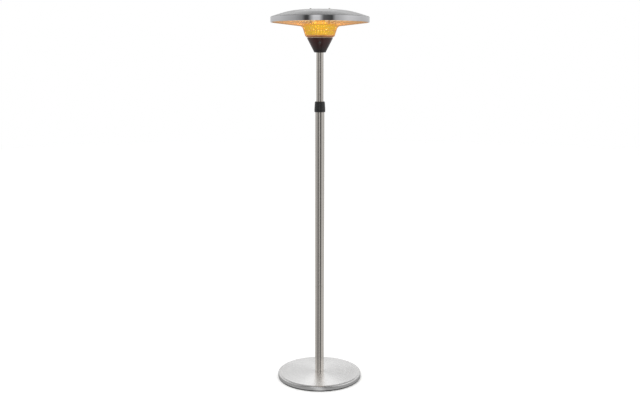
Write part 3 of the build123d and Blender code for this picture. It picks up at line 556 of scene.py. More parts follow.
@dataclass(frozen=True)
class Finish:
    """A surface finish.

    Args:
        colour: The main colour.
        shade: The colour of the pattern's other places.
        rough: The lowest and the highest roughness.
        texture: The kind of fine pattern.
        pitch: Lines per metre where it is turned, or the grain's size in metres.
        relief: The pattern's depth in metres.
        metal: 1 for bare metal.
        brushed: How strongly reflections stretch across the lathe lines.
        worn: The colour that shows where edges have rubbed.
        wear: How much of the edges has rubbed.
        dust: How much dust lies on top.
        heat_and_glow_tint: The colour near the lamps: partly heat colouring, partly painted lamp light on the part;
            on the black housing, painted reflected lamp glow.
        heat_and_glow_reach: How far from the lamps that colour reaches.
        glow: The colour of the light that it gives off: on the lamps their own light, on parts that are no lamp
            painted glow standing in for the lamps' light on them.
        glow_strength: The strength of that light.
        coat: A clear coat's weight.
    """

    colour: Colour
    shade: Colour
    rough: tuple[float, float]
    texture: Texture
    pitch: float
    relief: float
    metal: float = 0.0
    brushed: float = 0.0
    worn: Colour = (0.5, 0.5, 0.5)
    wear: float = 0.3
    dust: float = 0.05
    heat_and_glow_tint: Colour | None = None
    heat_and_glow_reach: float = 0.2
    glow: Colour | None = None
    glow_strength: float = 0.0
    coat: float = 0.0

    def material(self, name: str) -> bpy.types.Material:
        """Builds the finish as a material.

        Args:
            name: The material's name.

        Returns:
            The material.
        """
        made = bpy.data.materials.new(name)
        tree = cleared_tree(made)
        place = tree.node("ShaderNodeTexCoord").outputs["Object"]
        if self.texture is Texture.TURNED:
            pattern = LATHE_LINES.place(tree, Vector=place, Lines=self.pitch)
        else:
            pattern = MOULDED_GRAIN.place(tree, Vector=place, Size=self.pitch)
        marks = HANDLING_MARKS.place(tree, Vector=place)["Mask"]
        colour = tree.blend(pattern["Mask"], self.colour, self.shade)
        # Colour near the lamps: partly heat colouring, partly painted lamp light; on the black housing it is painted
        # reflected lamp glow.
        if self.heat_and_glow_tint:
            tint = HEAT_AND_GLOW_MASK.place(tree, Vector=place, Far=self.heat_and_glow_reach)["Mask"]
            colour = tree.blend(tint, colour, self.heat_and_glow_tint)
        worn = EDGE_WEAR.place(tree, Vector=place, Amount=self.wear)["Mask"]
        dust = SETTLED_DUST.place(tree, Vector=place, Amount=self.dust)["Mask"]
        colour = tree.blend(dust, tree.blend(worn, colour, self.worn), DUST_COLOUR)
        low, high = self.rough
        mixed = tree.total((pattern["Mask"], PATTERN_ROUGHENS), (marks, MARKS_ROUGHEN))
        rough = tree.total((tree.span(mixed, 0.0, 1.0, low, high), 1.0), (dust, DUST_ROUGHENS))
        inputs = {"Height": pattern["Height"], "Strength": BUMP_STRENGTH, "Distance": self.relief}
        bump = tree.node("ShaderNodeBump", inputs).outputs[0]
        shader = {"Base Color": colour, "Roughness": rough, "Normal": bump, "Metallic": self.metal}
        shader |= {"Anisotropic": self.brushed, "Coat Weight": self.coat}
        if self.brushed:
            shader["Tangent"] = tree.node("ShaderNodeTangent", direction_type="RADIAL", axis="Z").outputs[0]
        # On parts that are no lamp this emission is painted glow, standing in for lamp light on them; where the
        # finish has a near-lamp colour it fades with it away from the lamps, and handling marks dim it.
        if self.glow:
            dim = tuple(DIM_GLOW * part for part in self.glow)
            light = tree.blend(marks, self.glow, dim)
            shader["Emission Color"] = tree.blend(tint, (0.0, 0.0, 0.0), light) if self.heat_and_glow_tint else light
            shader["Emission Strength"] = self.glow_strength
        self.finish_tree(tree, shader)
        return made

    def finish_tree(self, tree: Tree, shader: dict[str, Any]) -> None:
        """Adds the shader and the output."""
        body = tree.node("ShaderNodeBsdfPrincipled", shader).outputs[0]
        tree.node("ShaderNodeOutputMaterial", {0: body})


@dataclass(frozen=True)
class TintedGlass(Finish):
    """Tinted quartz that the hot coil inside shows through."""

    def finish_tree(self, tree: Tree, shader: dict[str, Any]) -> None:
        """Adds a clear, smooth glass shader and the output."""
        shader |= {"Transmission Weight": 1.0, "IOR": 1.46}
        super().finish_tree(tree, shader)


TURNED, GRAINED = Texture.TURNED, Texture.GRAINED
FINISHES: dict[str, Finish] = {
    "brushed_stainless": Finish((0.92, 0.915, 0.91), (0.87, 0.865, 0.86), (0.22, 0.30), TURNED, 1400.0, 0.000002,
                                1.0, 0.75, worn=(0.95, 0.95, 0.95), dust=0.02),
    "pole_stainless": Finish((0.76, 0.715, 0.665), (0.69, 0.645, 0.595), (0.12, 0.2), TURNED, 900.0, 0.00001,
                             1.0, 0.3, dust=0.02),
    "satin_hood": Finish((0.58, 0.58, 0.58), (0.53, 0.53, 0.535), (0.26, 0.34), TURNED, 1100.0, 0.00001,
                         1.0, 0.5, dust=0.06),
    "polished_band": Finish((0.80, 0.80, 0.81), (0.74, 0.74, 0.76), (0.05, 0.1), TURNED, 500.0, 0.000004,
                            1.0, 0.0, dust=0.02),
    # The reflector's golden colour near the lamps is partly heat colouring, partly painted lamp light, and its glow
    # is painted glow.
    "bright_aluminium": Finish((0.86, 0.80, 0.70), (0.78, 0.71, 0.60), (0.18, 0.3), TURNED, 700.0, 0.00003,
                               1.0, 0.3, heat_and_glow_tint=(0.95, 0.66, 0.30), heat_and_glow_reach=0.55,
                               glow=(1.0, 0.72, 0.36), glow_strength=0.55),
    "black_plastic": Finish((0.012, 0.012, 0.012), (0.02, 0.02, 0.02), (0.24, 0.36), GRAINED, 0.0007, 0.00003,
                            worn=(0.09, 0.09, 0.09)),
    # The housing's red-brown near the lamps is painted reflected lamp glow.
    "black_housing": Finish((0.006, 0.005, 0.005), (0.010, 0.008, 0.008), (0.3, 0.42), GRAINED, 0.0009, 0.00005,
                            worn=(0.1, 0.09, 0.09), heat_and_glow_tint=(0.038, 0.002, 0.001), heat_and_glow_reach=0.14),
    "button_plastic": Finish((0.035, 0.033, 0.033), (0.05, 0.047, 0.047), (0.25, 0.4), GRAINED, 0.0004, 0.00002,
                             worn=(0.25, 0.25, 0.25), wear=0.6),
    "white_nylon": Finish((0.75, 0.74, 0.70), (0.68, 0.66, 0.6), (0.35, 0.5), GRAINED, 0.0006, 0.00002),
    "rubber": Finish((0.02, 0.02, 0.02), (0.035, 0.034, 0.032), (0.6, 0.8), GRAINED, 0.0005, 0.00005,
                     worn=(0.07, 0.07, 0.065)),
    "cast_ballast": Finish((0.12, 0.12, 0.12), (0.18, 0.165, 0.15), (0.6, 0.85), GRAINED, 0.0025, 0.0004,
                           worn=(0.3, 0.26, 0.22)),
    "zinc_steel": Finish((0.62, 0.61, 0.58), (0.54, 0.52, 0.46), (0.25, 0.42), GRAINED, 0.0015, 0.00002, 1.0),
    # The wires' orange near the lamps is partly heat colouring, partly painted lamp light, and their glow is painted
    # glow.
    "guard_wire": Finish((0.70, 0.66, 0.60), (0.62, 0.57, 0.50), (0.16, 0.28), TURNED, 1500.0, 0.00001,
                         1.0, heat_and_glow_tint=(0.94, 0.56, 0.26), heat_and_glow_reach=0.55,
                         glow=(1.0, 0.50, 0.20), glow_strength=0.16),
    # The sleeve's golden glow is painted glow, standing in for the lamps' light on the mesh.
    "fine_mesh": Finish((0.30, 0.18, 0.04), (0.27, 0.16, 0.035), (0.75, 0.9), GRAINED, 0.0008, 0.00002,
                        1.0, glow=(0.97, 0.63, 0.02), glow_strength=0.66),
    "lamp_glass": TintedGlass((1.0, 0.80, 0.42), (1.0, 0.74, 0.34), (0.02, 0.05), GRAINED, 0.004, 0.000005,
                              wear=0.0, dust=0.0, glow=(1.0, 0.62, 0.12), glow_strength=0.12),
    "hot_filament": Finish((0.3, 0.2, 0.1), (0.25, 0.15, 0.08), (0.4, 0.5), GRAINED, 0.001, 0.00001,
                           wear=0.0, dust=0.0, glow=(1.0, 0.66, 0.20), glow_strength=0.75),
    "ceramic": Finish((0.80, 0.77, 0.70), (0.72, 0.68, 0.60), (0.3, 0.45), GRAINED, 0.001, 0.00003, coat=0.3),
    "mineral_board": Finish((0.55, 0.50, 0.42), (0.46, 0.41, 0.33), (0.7, 0.9), GRAINED, 0.0012, 0.0001),
    "lead_sleeve": Finish((0.55, 0.12, 0.06), (0.44, 0.09, 0.05), (0.5, 0.7), GRAINED, 0.0006, 0.00008),
}
# The reflector column's gold colour and its glow are painted lamp light.
PAINTED_GLOW_COLUMN = Finish((0.90, 0.62, 0.14), (0.84, 0.55, 0.11), (0.2, 0.3), TURNED, 700.0, 0.00002, 1.0, 0.3,
                       glow=(1.0, 0.62, 0.03), glow_strength=0.24)
# The lamp tray's red-brown colour and its glow are painted reflected lamp glow.
PAINTED_GLOW_TRAY = Finish((0.46, 0.24, 0.12), (0.36, 0.17, 0.08), (0.25, 0.4), TURNED, 700.0, 0.00003, 1.0, 0.3,
                       glow=(1.0, 0.36, 0.10), glow_strength=0.10)


class FinishBook:
    """The materials, each made once."""

    def __init__(self) -> None:
        """Starts with no material made."""
        self.made: dict[str, bpy.types.Material] = {}

    def material(self, name: str, finish: Finish | None = None) -> bpy.types.Material:
        """The material of a slot's finish, or of a finish given with its own name.

        Args:
            name: The slot, or the finish's own name.
            finish: The finish, where it isn't a slot's.

        Returns:
            The material, made the first time that it is asked for.
        """
        if name not in self.made:
            self.made[name] = (finish or FINISHES[name]).material(name)
        return self.made[name]


BOOK = FinishBook()


# ---- sub-assemblies ---------------------------------------------------------------------------
class SubAssembly:
    """Pieces that belong together on the heater."""

    def add(self, name: str, surface: Surface, like: str, replaces: bool = True, crease: float = 30.0) -> None:
        """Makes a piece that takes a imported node's body and finish.

        Args:
            name: The piece's name.
            surface: Its points and triangles.
            like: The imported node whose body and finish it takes.
            replaces: Whether it stands for that node.
            crease: Edges sharper than this angle, in degrees, stay sharp.
        """
        points, faces = surface
        mesh = bpy.data.meshes.new(name)
        mesh.vertices.add(len(points))
        mesh.vertices.foreach_set("co", points.astype(np.float32).ravel())
        mesh.loops.add(faces.size)
        mesh.loops.foreach_set("vertex_index", faces.astype(np.int32).ravel())
        mesh.polygons.add(len(faces))
        mesh.polygons.foreach_set("loop_start", np.arange(0, faces.size, 3, dtype=np.int32))
        mesh.update(calc_edges=True)
        mesh.shade_smooth()
        mesh.set_sharp_from_angle(angle=math.radians(crease))
        mesh.materials.append(BOOK.material(SLOT_OF[like]))
        piece = put(name, mesh)
        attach(piece, BODY_OF[like])
        if replaces:
            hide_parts(like)
        log.info("%s: %d triangles, rides on %s", name, len(faces), BODY_OF[like])

    def dress(self, *nodes: str) -> None:
        """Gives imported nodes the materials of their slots."""
        for node in nodes:
            self.coat(node, BOOK.material(SLOT_OF[node]))

    def coat(self, node: str, material: bpy.types.Material) -> None:
        """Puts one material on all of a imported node.

        Args:
            node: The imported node.
            material: The material.
        """
        mesh = frame["nodes"][node].data
        mesh.materials.clear()
        mesh.materials.append(material)
        log.info("%s: packed shape, %s", node, material.name)


@dataclass
class WeightedBase(SubAssembly):
    """The round foot: a brushed cover over a ballast disc and a pan on rubber feet."""

    shoulder: float = 0.010
    sheet: float = 0.001
    hub_hole: float = 0.0135
    shoulder_points: int = 14

    def build(self) -> None:
        """Makes the cover and dresses what is under it."""
        low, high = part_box("base_cover")
        radius, inner, under = high.y, high.y - self.sheet, high.z - self.sheet
        section = outline([(radius, low.z), (radius, high.z, self.shoulder), (self.hub_hole, high.z),
                           (self.hub_hole, under), (inner, under, self.shoulder - self.sheet), (inner, low.z)],
                          steps=self.shoulder_points)
        self.add("base_dome", turned(section, FINE_SEGMENTS), "base_cover")
        self.dress("base_pan", "base_weight", "base_feet", "base_screws", "base_washer", "base_bolt", "foot_insert")


@dataclass
class ScrewedPole(SubAssembly):
    """Three screwed pole sections. Broken edges show each joint as a fine line."""

    wall: float = 0.0012
    broken_edge: float = 0.0004

    def build(self) -> None:
        """Makes the two plain sections and dresses the rest."""
        for node in ("pole_middle", "pole_top"):
            low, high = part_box(node)
            radius, rim = high.x, high.x - self.broken_edge
            section = outline([(radius - self.wall, low.z), (rim, low.z), (radius, low.z + self.broken_edge),
                               (radius, high.z - self.broken_edge), (rim, high.z), (radius - self.wall, high.z)])
            self.add(f"{node}_tube", turned(section), node)
        self.dress("pole_bottom", "lower_joint_socket", "lower_joint_plug", "upper_joint_socket", "upper_joint_plug",
                   "cord_grommet")


@dataclass
class TelescopicMast(SubAssembly):
    """The upper tube, its sliding bush and the clamp collar."""

    wall: float = 0.0012
    edge: float = 0.0003

    def build(self) -> None:
        """Makes the upper tube and dresses the collar and bush."""
        low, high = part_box("upper_tube")
        bore = high.x - self.wall
        section = outline([(bore, low.z), (high.x, low.z, self.edge), (high.x, high.z, self.edge), (bore, high.z)])
        self.add("mast_tube", turned(section), "upper_tube")
        self.dress("collar_body", "collar_nut", "guide_bush")


@dataclass
class ControlHousing(SubAssembly):
    """The black cone with its push button, switch, terminals and lid."""

    def build(self) -> None:
        """Dresses the housing's pieces."""
        self.dress("housing", "housing_screws", "housing_lid", "lid_screws", "button_bezel", "power_button",
                   "step_switch", "terminal_block", "tilt_switch")


@dataclass
class RingLamps(SubAssembly):
    """Three ring lamps of tinted quartz, one above the other, each with a coiled filament."""

    ring: float = 0.039
    tube: float = 0.005
    bore: float = 0.0039
    leg_x: float = 0.011
    bend: float = 0.008
    leg_end: float = 0.0585
    coil_end: float = 0.050
    coil_radius: float = 0.0011
    coil_pitch: float = 0.0015
    coil_wire: float = 0.00024
    coil_sides: int = 4
    points_per_turn: int = 9
    tube_sides: int = 20
    bend_points: int = 12
    ring_points: int = 60

    def centre_line(self, height: float, leg_end: float) -> np.ndarray:
        """A lamp's centre line: a leg, a bend, the ring, a bend and a leg.

        The bend's centre lies where circles of radius ring + bend and leg + bend meet. One half is made, and
        the other is its mirror in X.

        Args:
            height: The lamp's height.
            leg_end: How far back the legs reach.

        Returns:
            The line's points, (n, 3).
        """
        bend_x = self.leg_x + self.bend
        bend_y = math.sqrt((self.ring + self.bend) ** 2 - bend_x ** 2)
        start = math.atan2(bend_y, bend_x)
        leg = np.array([(self.leg_x, leg_end), (self.leg_x, (leg_end + bend_y) / 2)])
        turn = arc((bend_x, bend_y), self.bend, math.pi, math.pi + start, self.bend_points)
        ring = arc((0.0, 0.0), self.ring, start, -math.pi / 2, self.ring_points)[1:]
        half = np.concatenate([leg, turn, ring])
        flat = np.concatenate([half, half[-2::-1] * (-1, 1)])
        return np.column_stack([flat, np.full(len(flat), height)])

    def coil(self, height: float) -> Surface:
        """A filament: a helix about the lamp's centre line.

        At a distance s along the line the wire is at line(s) + radius * (cos f * side + sin f * up), where
        f = 2 pi s / pitch.

        Args:
            height: The lamp's height.

        Returns:
            The points and the triangles.
        """
        line = self.centre_line(height, self.coil_end)
        middle, along = spaced(line, density=self.points_per_turn / self.coil_pitch)
        tangent = unit(np.gradient(middle, axis=0))
        side, lift = sides_of(middle, UP, False)
        phase = (TURN * along / self.coil_pitch)[:, None]
        wire = middle + self.coil_radius * (np.cos(phase) * side + np.sin(phase) * lift)
        return carried(wire, self.coil_wire, self.coil_sides, tangent)

    def build(self) -> None:
        """Makes the glass tubes and coils, and dresses the caps, leads and bracket."""
        coils = []
        for node in ("lamp_lower", "lamp_middle", "lamp_upper"):
            low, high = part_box(node)
            height = (low.z + high.z) / 2
            line = self.centre_line(height, self.leg_end)
            self.add(f"{node}_glass", carried(line, self.tube, self.tube_sides, UP, bore=self.bore), node)
            coils.append(self.coil(height))
        self.add("filament_coils", joined(coils), "filaments")
        self.dress("lamp_caps", "lamp_leads", "lamp_bracket", "tray_screws", "tray_nuts", "insulating_disc")
        # The tray's red-brown colour and glow are painted reflected lamp glow.
        self.coat("lamp_tray", BOOK.material("painted_glow_tray", PAINTED_GLOW_TRAY))
        # The column's gold colour and glow are painted lamp light.
        self.coat("reflector_column", BOOK.material("painted_glow_column", PAINTED_GLOW_COLUMN))


@dataclass
class LampGuard(SubAssembly):
    """Bent wires from the lamp tray to the rim, rings welded inside them, and a woven sleeve round the lamps."""

    wires: int = 48
    wire: float = 0.0013
    neck_low: float = 0.0810
    neck_low_z: float = 1.9609
    neck_lean: float = 0.329
    flare_at: float = 0.128
    flare_z: float = 2.0123
    flare_rise: float = 0.123
    bend: float = 0.022
    start_z: float = 1.9542
    end: float = 0.2643
    weld: float = 0.0002
    weld_spot: tuple[float, float, float] = (0.0011, 0.0019, 0.0011)
    wire_sides: int = 12
    wire_bend_points: int = 16
    ring_sides: int = 10
    ring_points: int = 192
    neck_rings: tuple[float, ...] = (1.958, 1.985)
    flare_rings: tuple[float, ...] = (0.112, 0.146, 0.184, 0.223, 0.2623)
    sleeve_inset: float = 0.0053
    sleeve_low: float = 1.9615
    sleeve_end: float = 0.1176
    sleeve_uprights: int = 168
    sleeve_hoops: int = 26
    sleeve_wire: float = 0.00088
    sleeve_sides: int = 4
    sleeve_bend_points: int = 24
    weave: float = 0.00045

    def neck_r(self, height: float) -> float:
        """The wires' radius at a height on the neck."""
        return self.neck_low + self.neck_lean * (height - self.neck_low_z)

    def flare_height(self, radius: float) -> float:
        """The wires' height at a radius on the flare."""
        return self.flare_z + self.flare_rise * (radius - self.flare_at)

    def shifts(self, inset: float) -> tuple[float, float]:
        """How far an inset moves the neck inwards and the flare upwards, with their slopes."""
        return inset * math.hypot(1.0, self.neck_lean), inset * math.hypot(1.0, self.flare_rise)

    def profile(self, inset: float, low: float, end: float, steps: int) -> np.ndarray:
        """The guard's line from its low end to its rim, moved inwards by an inset.

        The neck runs at r = foot + lean * z, and the flare at z = sill + rise * r. They meet at
        r = (foot + lean * sill) / (1 - lean * rise), and the corner there is rounded.

        Args:
            inset: How far the line lies inside the wires' own.
            low: The height of its low end.
            end: The radius of its far end.
            steps: How many points the bend has.

        Returns:
            The line's (r, z) points.
        """
        neck_shift, flare_shift = self.shifts(inset)
        foot = self.neck_low - neck_shift - self.neck_lean * self.neck_low_z
        sill = self.flare_z + flare_shift - self.flare_rise * self.flare_at
        corner = (foot + self.neck_lean * sill) / (1 - self.neck_lean * self.flare_rise)
        ends = [(foot + self.neck_lean * low, low), (end, sill + self.flare_rise * end)]
        mid = (corner, sill + self.flare_rise * corner, self.bend + inset)
        return outline([ends[0], mid, ends[1]], closed=False, steps=steps)

    def ring_centres(self) -> list[tuple[float, float]]:
        """The centres of the rings, each a little inside the wires.

        Returns:
            An (r, z) point for each ring, the neck's first.
        """
        neck_shift, flare_shift = self.shifts(2 * self.wire - self.weld)
        centres = [(self.neck_r(z) - neck_shift, z) for z in self.neck_rings]
        return centres + [(r, self.flare_height(r) + flare_shift) for r in self.flare_rings]

    def hoop(self, radius: float, height: float) -> Surface:
        """A ring of wire.

        Args:
            radius: The ring's radius.
            height: The ring's height.

        Returns:
            The points and the triangles.
        """
        flat = arc((0.0, 0.0), radius, 0.0, TURN, self.ring_points + 1)[:-1]
        path = np.column_stack([flat, np.full(self.ring_points, height)])
        return carried(path, self.wire, self.ring_sides, UP, closed=True)

    def woven_sleeve(self) -> Surface:
        """Uprights and hoops that pass over and under each other.

        A wire stands off the sleeve's line by weave * cos(pi (i + j)) at crossing (i, j), with uprights and
        hoops on opposite sides, so that they clear each other by turns.

        Returns:
            The wires as one surface.
        """
        line = self.profile(self.sleeve_inset, self.sleeve_low, self.sleeve_end, self.sleeve_bend_points)
        middle, _ = spaced(line, 2 * self.sleeve_hoops - 1)
        slope = unit(np.gradient(middle, axis=0))
        normal = np.stack([slope[:, 1], -slope[:, 0]], -1)
        swing = self.weave * np.cos(math.pi * np.arange(len(middle)) / 2)[:, None]
        spread = TURN * np.arange(self.sleeve_uprights) / self.sleeve_uprights
        strands = []
        for side, angles in ((1, spread[::2]), (-1, spread[1::2])):
            path = standing(middle + side * swing * normal)
            strands.append(around(carried(path, self.sleeve_wire, self.sleeve_sides, BACK), angles))
        places = np.arange(2 * self.sleeve_uprights)
        angle = TURN * places / len(places)
        wave = np.cos(math.pi * places / 2)[:, None]
        for i in range(self.sleeve_hoops):
            side = -1 if i % 2 == 0 else 1
            offset = middle[2 * i] + side * self.weave * wave * normal[2 * i]
            path = np.column_stack([offset[:, 0] * np.cos(angle), offset[:, 0] * np.sin(angle), offset[:, 1]])
            strands.append(carried(path, self.sleeve_wire, self.sleeve_sides, UP, closed=True))
        return joined(strands)

    def build(self) -> None:
        """Makes the wires, rings, weld spots and sleeve, and dresses the clips."""
        path = standing(self.profile(0.0, self.start_z, self.end, self.wire_bend_points))
        angles = TURN * (np.arange(self.wires) + 0.5) / self.wires
        self.add("guard_wire_cage", around(carried(path, self.wire, self.wire_sides, BACK), angles), "guard_wires")
        centres = self.ring_centres()
        self.add("guard_ring_set", joined([self.hoop(r, z) for r, z in centres]), "guard_rings")
        spots = []
        for number, (r, z) in enumerate(centres):
            on_neck = number < len(self.neck_rings)
            centre = (r + self.wire, 0.0, z) if on_neck else (r, 0.0, z - self.wire)
            spots.append(around(bead(centre, self.weld_spot), angles))
        self.add("guard_weld_spots", joined(spots), "guard_rings", replaces=False)
        self.add("woven_lamp_sleeve", self.woven_sleeve(), "lamp_screen", crease=60.0)
        self.dress("guard_clips")


@dataclass
class HeatingHood(SubAssembly):
    """The spun hood, its polished band, the reflector under it, and the posts that hold them."""

    sheet: float = 0.0012
    crown: float = 1.400
    crown_turn: float = math.radians(5.0)
    shoulder_out: float = 0.215
    slope: float = math.radians(17.5)
    bend: float = 0.003
    arc_points: tuple[int, int, int] = (16, 20, 8)
    band_edge: float = 0.0004
    band_corner: float = 0.0008
    band_lip: float = 0.001
    band_lip_r: float = 0.2655
    band_gap: float = 0.00005

    def face_line(self, inset: float) -> np.ndarray:
        """One face of the hood's sheet: crown arc, shoulder arc, straight slope, bend and skirt.

        An arc's point at an angle t from upright is centre + radius * (sin t, cos t).

        Args:
            inset: How far the face lies inside the outer one.

        Returns:
            The face's (r, z) points, from the axis to the skirt's low edge.
        """
        low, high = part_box("hood")
        edge, crown_z = high.x, high.z - self.crown
        sin_a, cos_a = math.sin(self.crown_turn), math.cos(self.crown_turn)
        sin_b, cos_b = math.sin(self.slope), math.cos(self.slope)
        shoulder = (self.shoulder_out - self.crown * sin_a) / (sin_b - sin_a)
        centre = ((self.crown - shoulder) * sin_a, crown_z + (self.crown - shoulder) * cos_a)
        slope_r = edge - self.bend * (1 - sin_b)
        slope_z = centre[1] + shoulder * cos_b - (slope_r - self.shoulder_out) * math.tan(self.slope)
        corner = (slope_r - self.bend * sin_b, slope_z - self.bend * cos_b)
        upright = math.pi / 2
        on_crown, on_shoulder, on_bend = self.arc_points
        arcs = [arc((0.0, crown_z), self.crown - inset, upright, upright - self.crown_turn, on_crown),
                arc(centre, shoulder - inset, upright - self.crown_turn, upright - self.slope, on_shoulder)[1:],
                arc(corner, self.bend - inset, upright - self.slope, 0.0, on_bend)]
        line = np.concatenate(arcs + [[(edge - inset, low.z)]])
        line[0, 0] = 0.0
        return line

    def build(self) -> None:
        """Makes the hood and its band, and dresses the reflector and the fixings."""
        section = np.concatenate([self.face_line(0.0), self.face_line(self.sheet)[::-1]])
        self.add("hood_shell", turned(section, FINE_SEGMENTS), "hood", crease=40.0)
        low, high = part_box("rim_band")
        inner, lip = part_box("hood")[1].x + self.band_gap, low.z + self.band_lip
        section = outline([(inner, high.z), (high.x, high.z, self.band_edge), (high.x, low.z, self.band_corner),
                           (self.band_lip_r, low.z), (self.band_lip_r, lip), (inner, lip)])
        self.add("polished_rim", turned(section, FINE_SEGMENTS), "rim_band")
        self.dress("reflector", "support_posts", "post_nuts", "post_collars", "hood_spacers", "hood_washers",
                   "hood_screws")


# ---- studio -----------------------------------------------------------------------------------
@dataclass
class Studio:
    """A pale floor, a soft room round it, one large overhead light and the camera."""

    # Brightness of the room round the horizon: degrees from the camera's side, to the right, and value.
    room: tuple[tuple[float, float], ...] = (
        (-180, 0.62), (-110, 0.59), (-60, 0.40), (-42, 0.25), (-34, 0.06), (-27, 0.06), (-14, 0.68), (-2, 0.66),
        (8, 0.12), (28, 0.055), (36, 0.40), (66, 0.68), (80, 0.66), (110, 0.56), (180, 0.62))
    # The same against height: the sine of the elevation, and value. A soft light hangs behind the heater.
    rise: tuple[tuple[float, float], ...] = (
        (0.0, 1.0), (0.08, 1.05), (0.2, 1.2), (0.34, 1.05), (0.42, 2.5), (0.455, 1.5), (0.54, 0.62), (0.66, 0.5),
        (0.85, 0.8))
    fill: float = 1.12
    floor_size: float = 14.0
    floor_corners: int = 96
    # What polished pieces see of the floor near the base: its value in front and at the sides, the shares of
    # sideways distance between which it changes, and the distances over which the room takes over.
    near_value: tuple[float, float] = (0.58, 0.33)
    near_sideways: tuple[float, float] = (0.02, 0.2)
    near_reach: tuple[float, float] = (0.28, 0.36)
    speckle: float = 400.0
    overhead_place: tuple[float, float, float] = (-0.6, -0.4, 4.6)
    overhead_aim: tuple[float, float, float] = (-0.6, -0.4, 3.6)
    overhead_size: tuple[float, float] = (3.4, 2.6)
    overhead_watts: float = 60.0
    camera_place: tuple[float, float, float] = (0.0, -4.683, 1.840)
    camera_tip: float = math.radians(90 - 9.63)
    camera_roll: float = math.radians(0.1)
    camera_shift: float = 0.0005
    lens: float = 47.24
    sensor: float = 36.0
    glow: Colour = (1.0, 0.78, 0.36)
    glow_watts: float = 0.015
    glow_lamps: int = 6
    glow_circle: float = 0.060
    glow_spread: float = 0.015
    glow_size: float = 0.006
    ramp_top: float = 2.0

    def ramp(self, tree: Tree, share: Any, steps: Sequence[tuple[float, float]]) -> bpy.types.NodeSocket:
        """Values that run evenly from one step to the next.

        Args:
            tree: The tree that the node goes into.
            share: The place on the ramp.
            steps: The place and value of each step.

        Returns:
            The ramp's value at the place.
        """
        made = tree.node("ShaderNodeValToRGB", {0: share})
        elements = made.color_ramp.elements
        for place, _ in steps[1:-1]:
            elements.new(place)
        for element, (place, value) in zip(elements, steps):
            element.position = place
            element.color = (*[value / self.ramp_top] * 3, 1.0)
        grey = tree.node("ShaderNodeRGBToBW", {0: made.outputs[0]}).outputs[0]
        return tree.math("MULTIPLY", grey, self.ramp_top)

    def room_light(self) -> Effect:
        """Makes the room's brightness at an angle round the heater.

        Returns:
            The group, which puts out the brightness.
        """
        effect = Effect("room_light", {"X": 0.0, "Y": 0.0}, ("Light",))
        tree, given = effect.tree, effect.given
        angle = tree.math("ARCTAN2", given["X"], tree.math("MULTIPLY", given["Y"], -1.0))
        share = tree.math("ADD", tree.math("DIVIDE", angle, TURN), 0.5)
        steps = [(degrees / 360 + 0.5, value) for degrees, value in self.room]
        return effect.put_out(Light=self.ramp(tree, share, steps))

    def build_world(self, room: Effect) -> None:
        """White behind the heater for the camera, an even fill for soft light, and the room for reflections.

        Args:
            room: The room's brightness.
        """
        world = bpy.data.worlds.new("studio_room")
        bpy.context.scene.world = world
        tree = cleared_tree(world)
        way = tree.node("ShaderNodeTexCoord").outputs["Generated"]
        x, y, z = tree.node("ShaderNodeSeparateXYZ", {0: way}).outputs
        light = room.place(tree, X=x, Y=y)["Light"]
        light = tree.math("MULTIPLY", light, self.ramp(tree, z, self.rise))
        path = tree.node("ShaderNodeLightPath").outputs
        even = tree.math("MULTIPLY", path["Is Diffuse Ray"], self.fill)
        light = tree.math("MAXIMUM", tree.math("MAXIMUM", light, even), path["Is Camera Ray"])
        glow = tree.node("ShaderNodeBackground", {0: light, 1: 1.0}).outputs[0]
        tree.node("ShaderNodeOutputWorld", {0: glow})

    def build_floor(self, room: Effect) -> None:
        """A round pale floor. Polished pieces see the room carried on over it, fading near the base.

        Args:
            room: The room's brightness.
        """
        floor = bpy.data.meshes.new("floor")
        ring = arc((0.0, 0.0), self.floor_size, 0.0, TURN, self.floor_corners + 1)[:-1]
        floor.from_pydata([(x, y, 0.0) for x, y in ring], [], [tuple(range(len(ring)))])
        put("floor", floor)
        made = bpy.data.materials.new("pale_floor")
        tree = cleared_tree(made)
        place = tree.node("ShaderNodeTexCoord").outputs["Object"]
        x, y, _ = tree.node("ShaderNodeSeparateXYZ", {0: place}).outputs
        light = room.place(tree, X=x, Y=y)["Light"]
        away = tree.node("ShaderNodeVectorMath", {0: place}, operation="LENGTH").outputs["Value"]
        sideways = tree.math("DIVIDE", tree.math("ABSOLUTE", x), away)
        near = tree.span(sideways, *self.near_sideways, *self.near_value)
        share = tree.span(away, *self.near_reach)
        light = tree.total((light, share), (near, tree.math("SUBTRACT", 1.0, share)))
        speckle = tree.noise(place, self.speckle, 2.0)
        colour = tree.blend(speckle, (0.90, 0.90, 0.895), (0.93, 0.93, 0.925))
        matt = tree.node("ShaderNodeBsdfDiffuse", {"Color": colour}).outputs[0]
        card = tree.node("ShaderNodeEmission", {"Color": light}).outputs[0]
        glossy = tree.node("ShaderNodeLightPath").outputs["Is Glossy Ray"]
        both = tree.node("ShaderNodeMixShader", {0: glossy, 1: matt, 2: card}).outputs[0]
        tree.node("ShaderNodeOutputMaterial", {0: both})
        floor.materials.append(made)

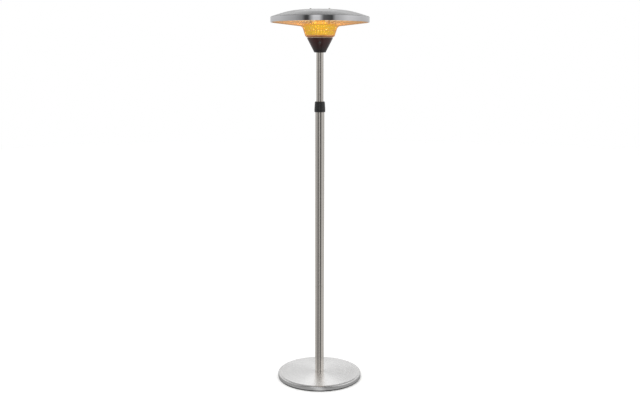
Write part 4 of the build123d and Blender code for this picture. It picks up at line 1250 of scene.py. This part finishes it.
    def add_light(self, name: str, kind: str, place: Sequence[float], watts: float,
                  **fields: Any) -> bpy.types.Object:
        """Adds a light, and returns it.

        Args:
            name: The light's name.
            kind: Blender's name for its type.
            place: Where it stands.
            watts: Its power.
            fields: Its own settings.

        Returns:
            The light's object.
        """
        data = bpy.data.lights.new(name, kind)
        data.energy = watts
        for field_name, value in fields.items():
            setattr(data, field_name, value)
        light = put(name, data)
        light.location = place
        return light

    def build(self) -> None:
        """Sets up the room, the lights and the camera."""
        room = self.room_light()
        self.build_world(room)
        self.build_floor(room)
        width, depth = self.overhead_size
        above = self.add_light("overhead_light", "AREA", self.overhead_place, self.overhead_watts,
                               shape="RECTANGLE", size=width, size_y=depth)
        above.rotation_euler = Vector(self.overhead_aim).to_track_quat("Z", "Y").to_euler()
        above.visible_camera = above.visible_glossy = False
        angles = TURN * np.arange(self.glow_lamps) / self.glow_lamps
        for level, height in enumerate((LAMP_MIDDLE - self.glow_spread, LAMP_MIDDLE + self.glow_spread)):
            for number, angle in enumerate(angles):
                place = (self.glow_circle * math.cos(angle), self.glow_circle * math.sin(angle), height)
                lamp = self.add_light(f"lamp_glow_{level}_{number}", "POINT", place, self.glow_watts,
                                      color=self.glow, shadow_soft_size=self.glow_size)
                lamp.visible_camera = False
                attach(lamp, "head")
        view = bpy.data.cameras.new("camera")
        view.lens, view.sensor_width, view.shift_x = self.lens, self.sensor, self.camera_shift
        camera = put("camera", view)
        aim = Matrix.Rotation(self.camera_tip, 3, "X") @ Matrix.Rotation(self.camera_roll, 3, "Z")
        camera.location, camera.rotation_euler = self.camera_place, aim.to_euler()
        bpy.context.scene.camera = camera
        bpy.context.scene.view_settings.view_transform = "Standard"


def main() -> None:
    """Builds the heater from the floor up, then the studio."""
    logging.basicConfig(level=logging.INFO, format="%(name)s %(message)s")
    for assembly in (WeightedBase(), ScrewedPole(), TelescopicMast(), ControlHousing(), RingLamps(), LampGuard(),
                     HeatingHood()):
        log.info("%s", type(assembly).__name__)
        assembly.build()
    Studio().build()


if __name__ == "__main__":
    main()
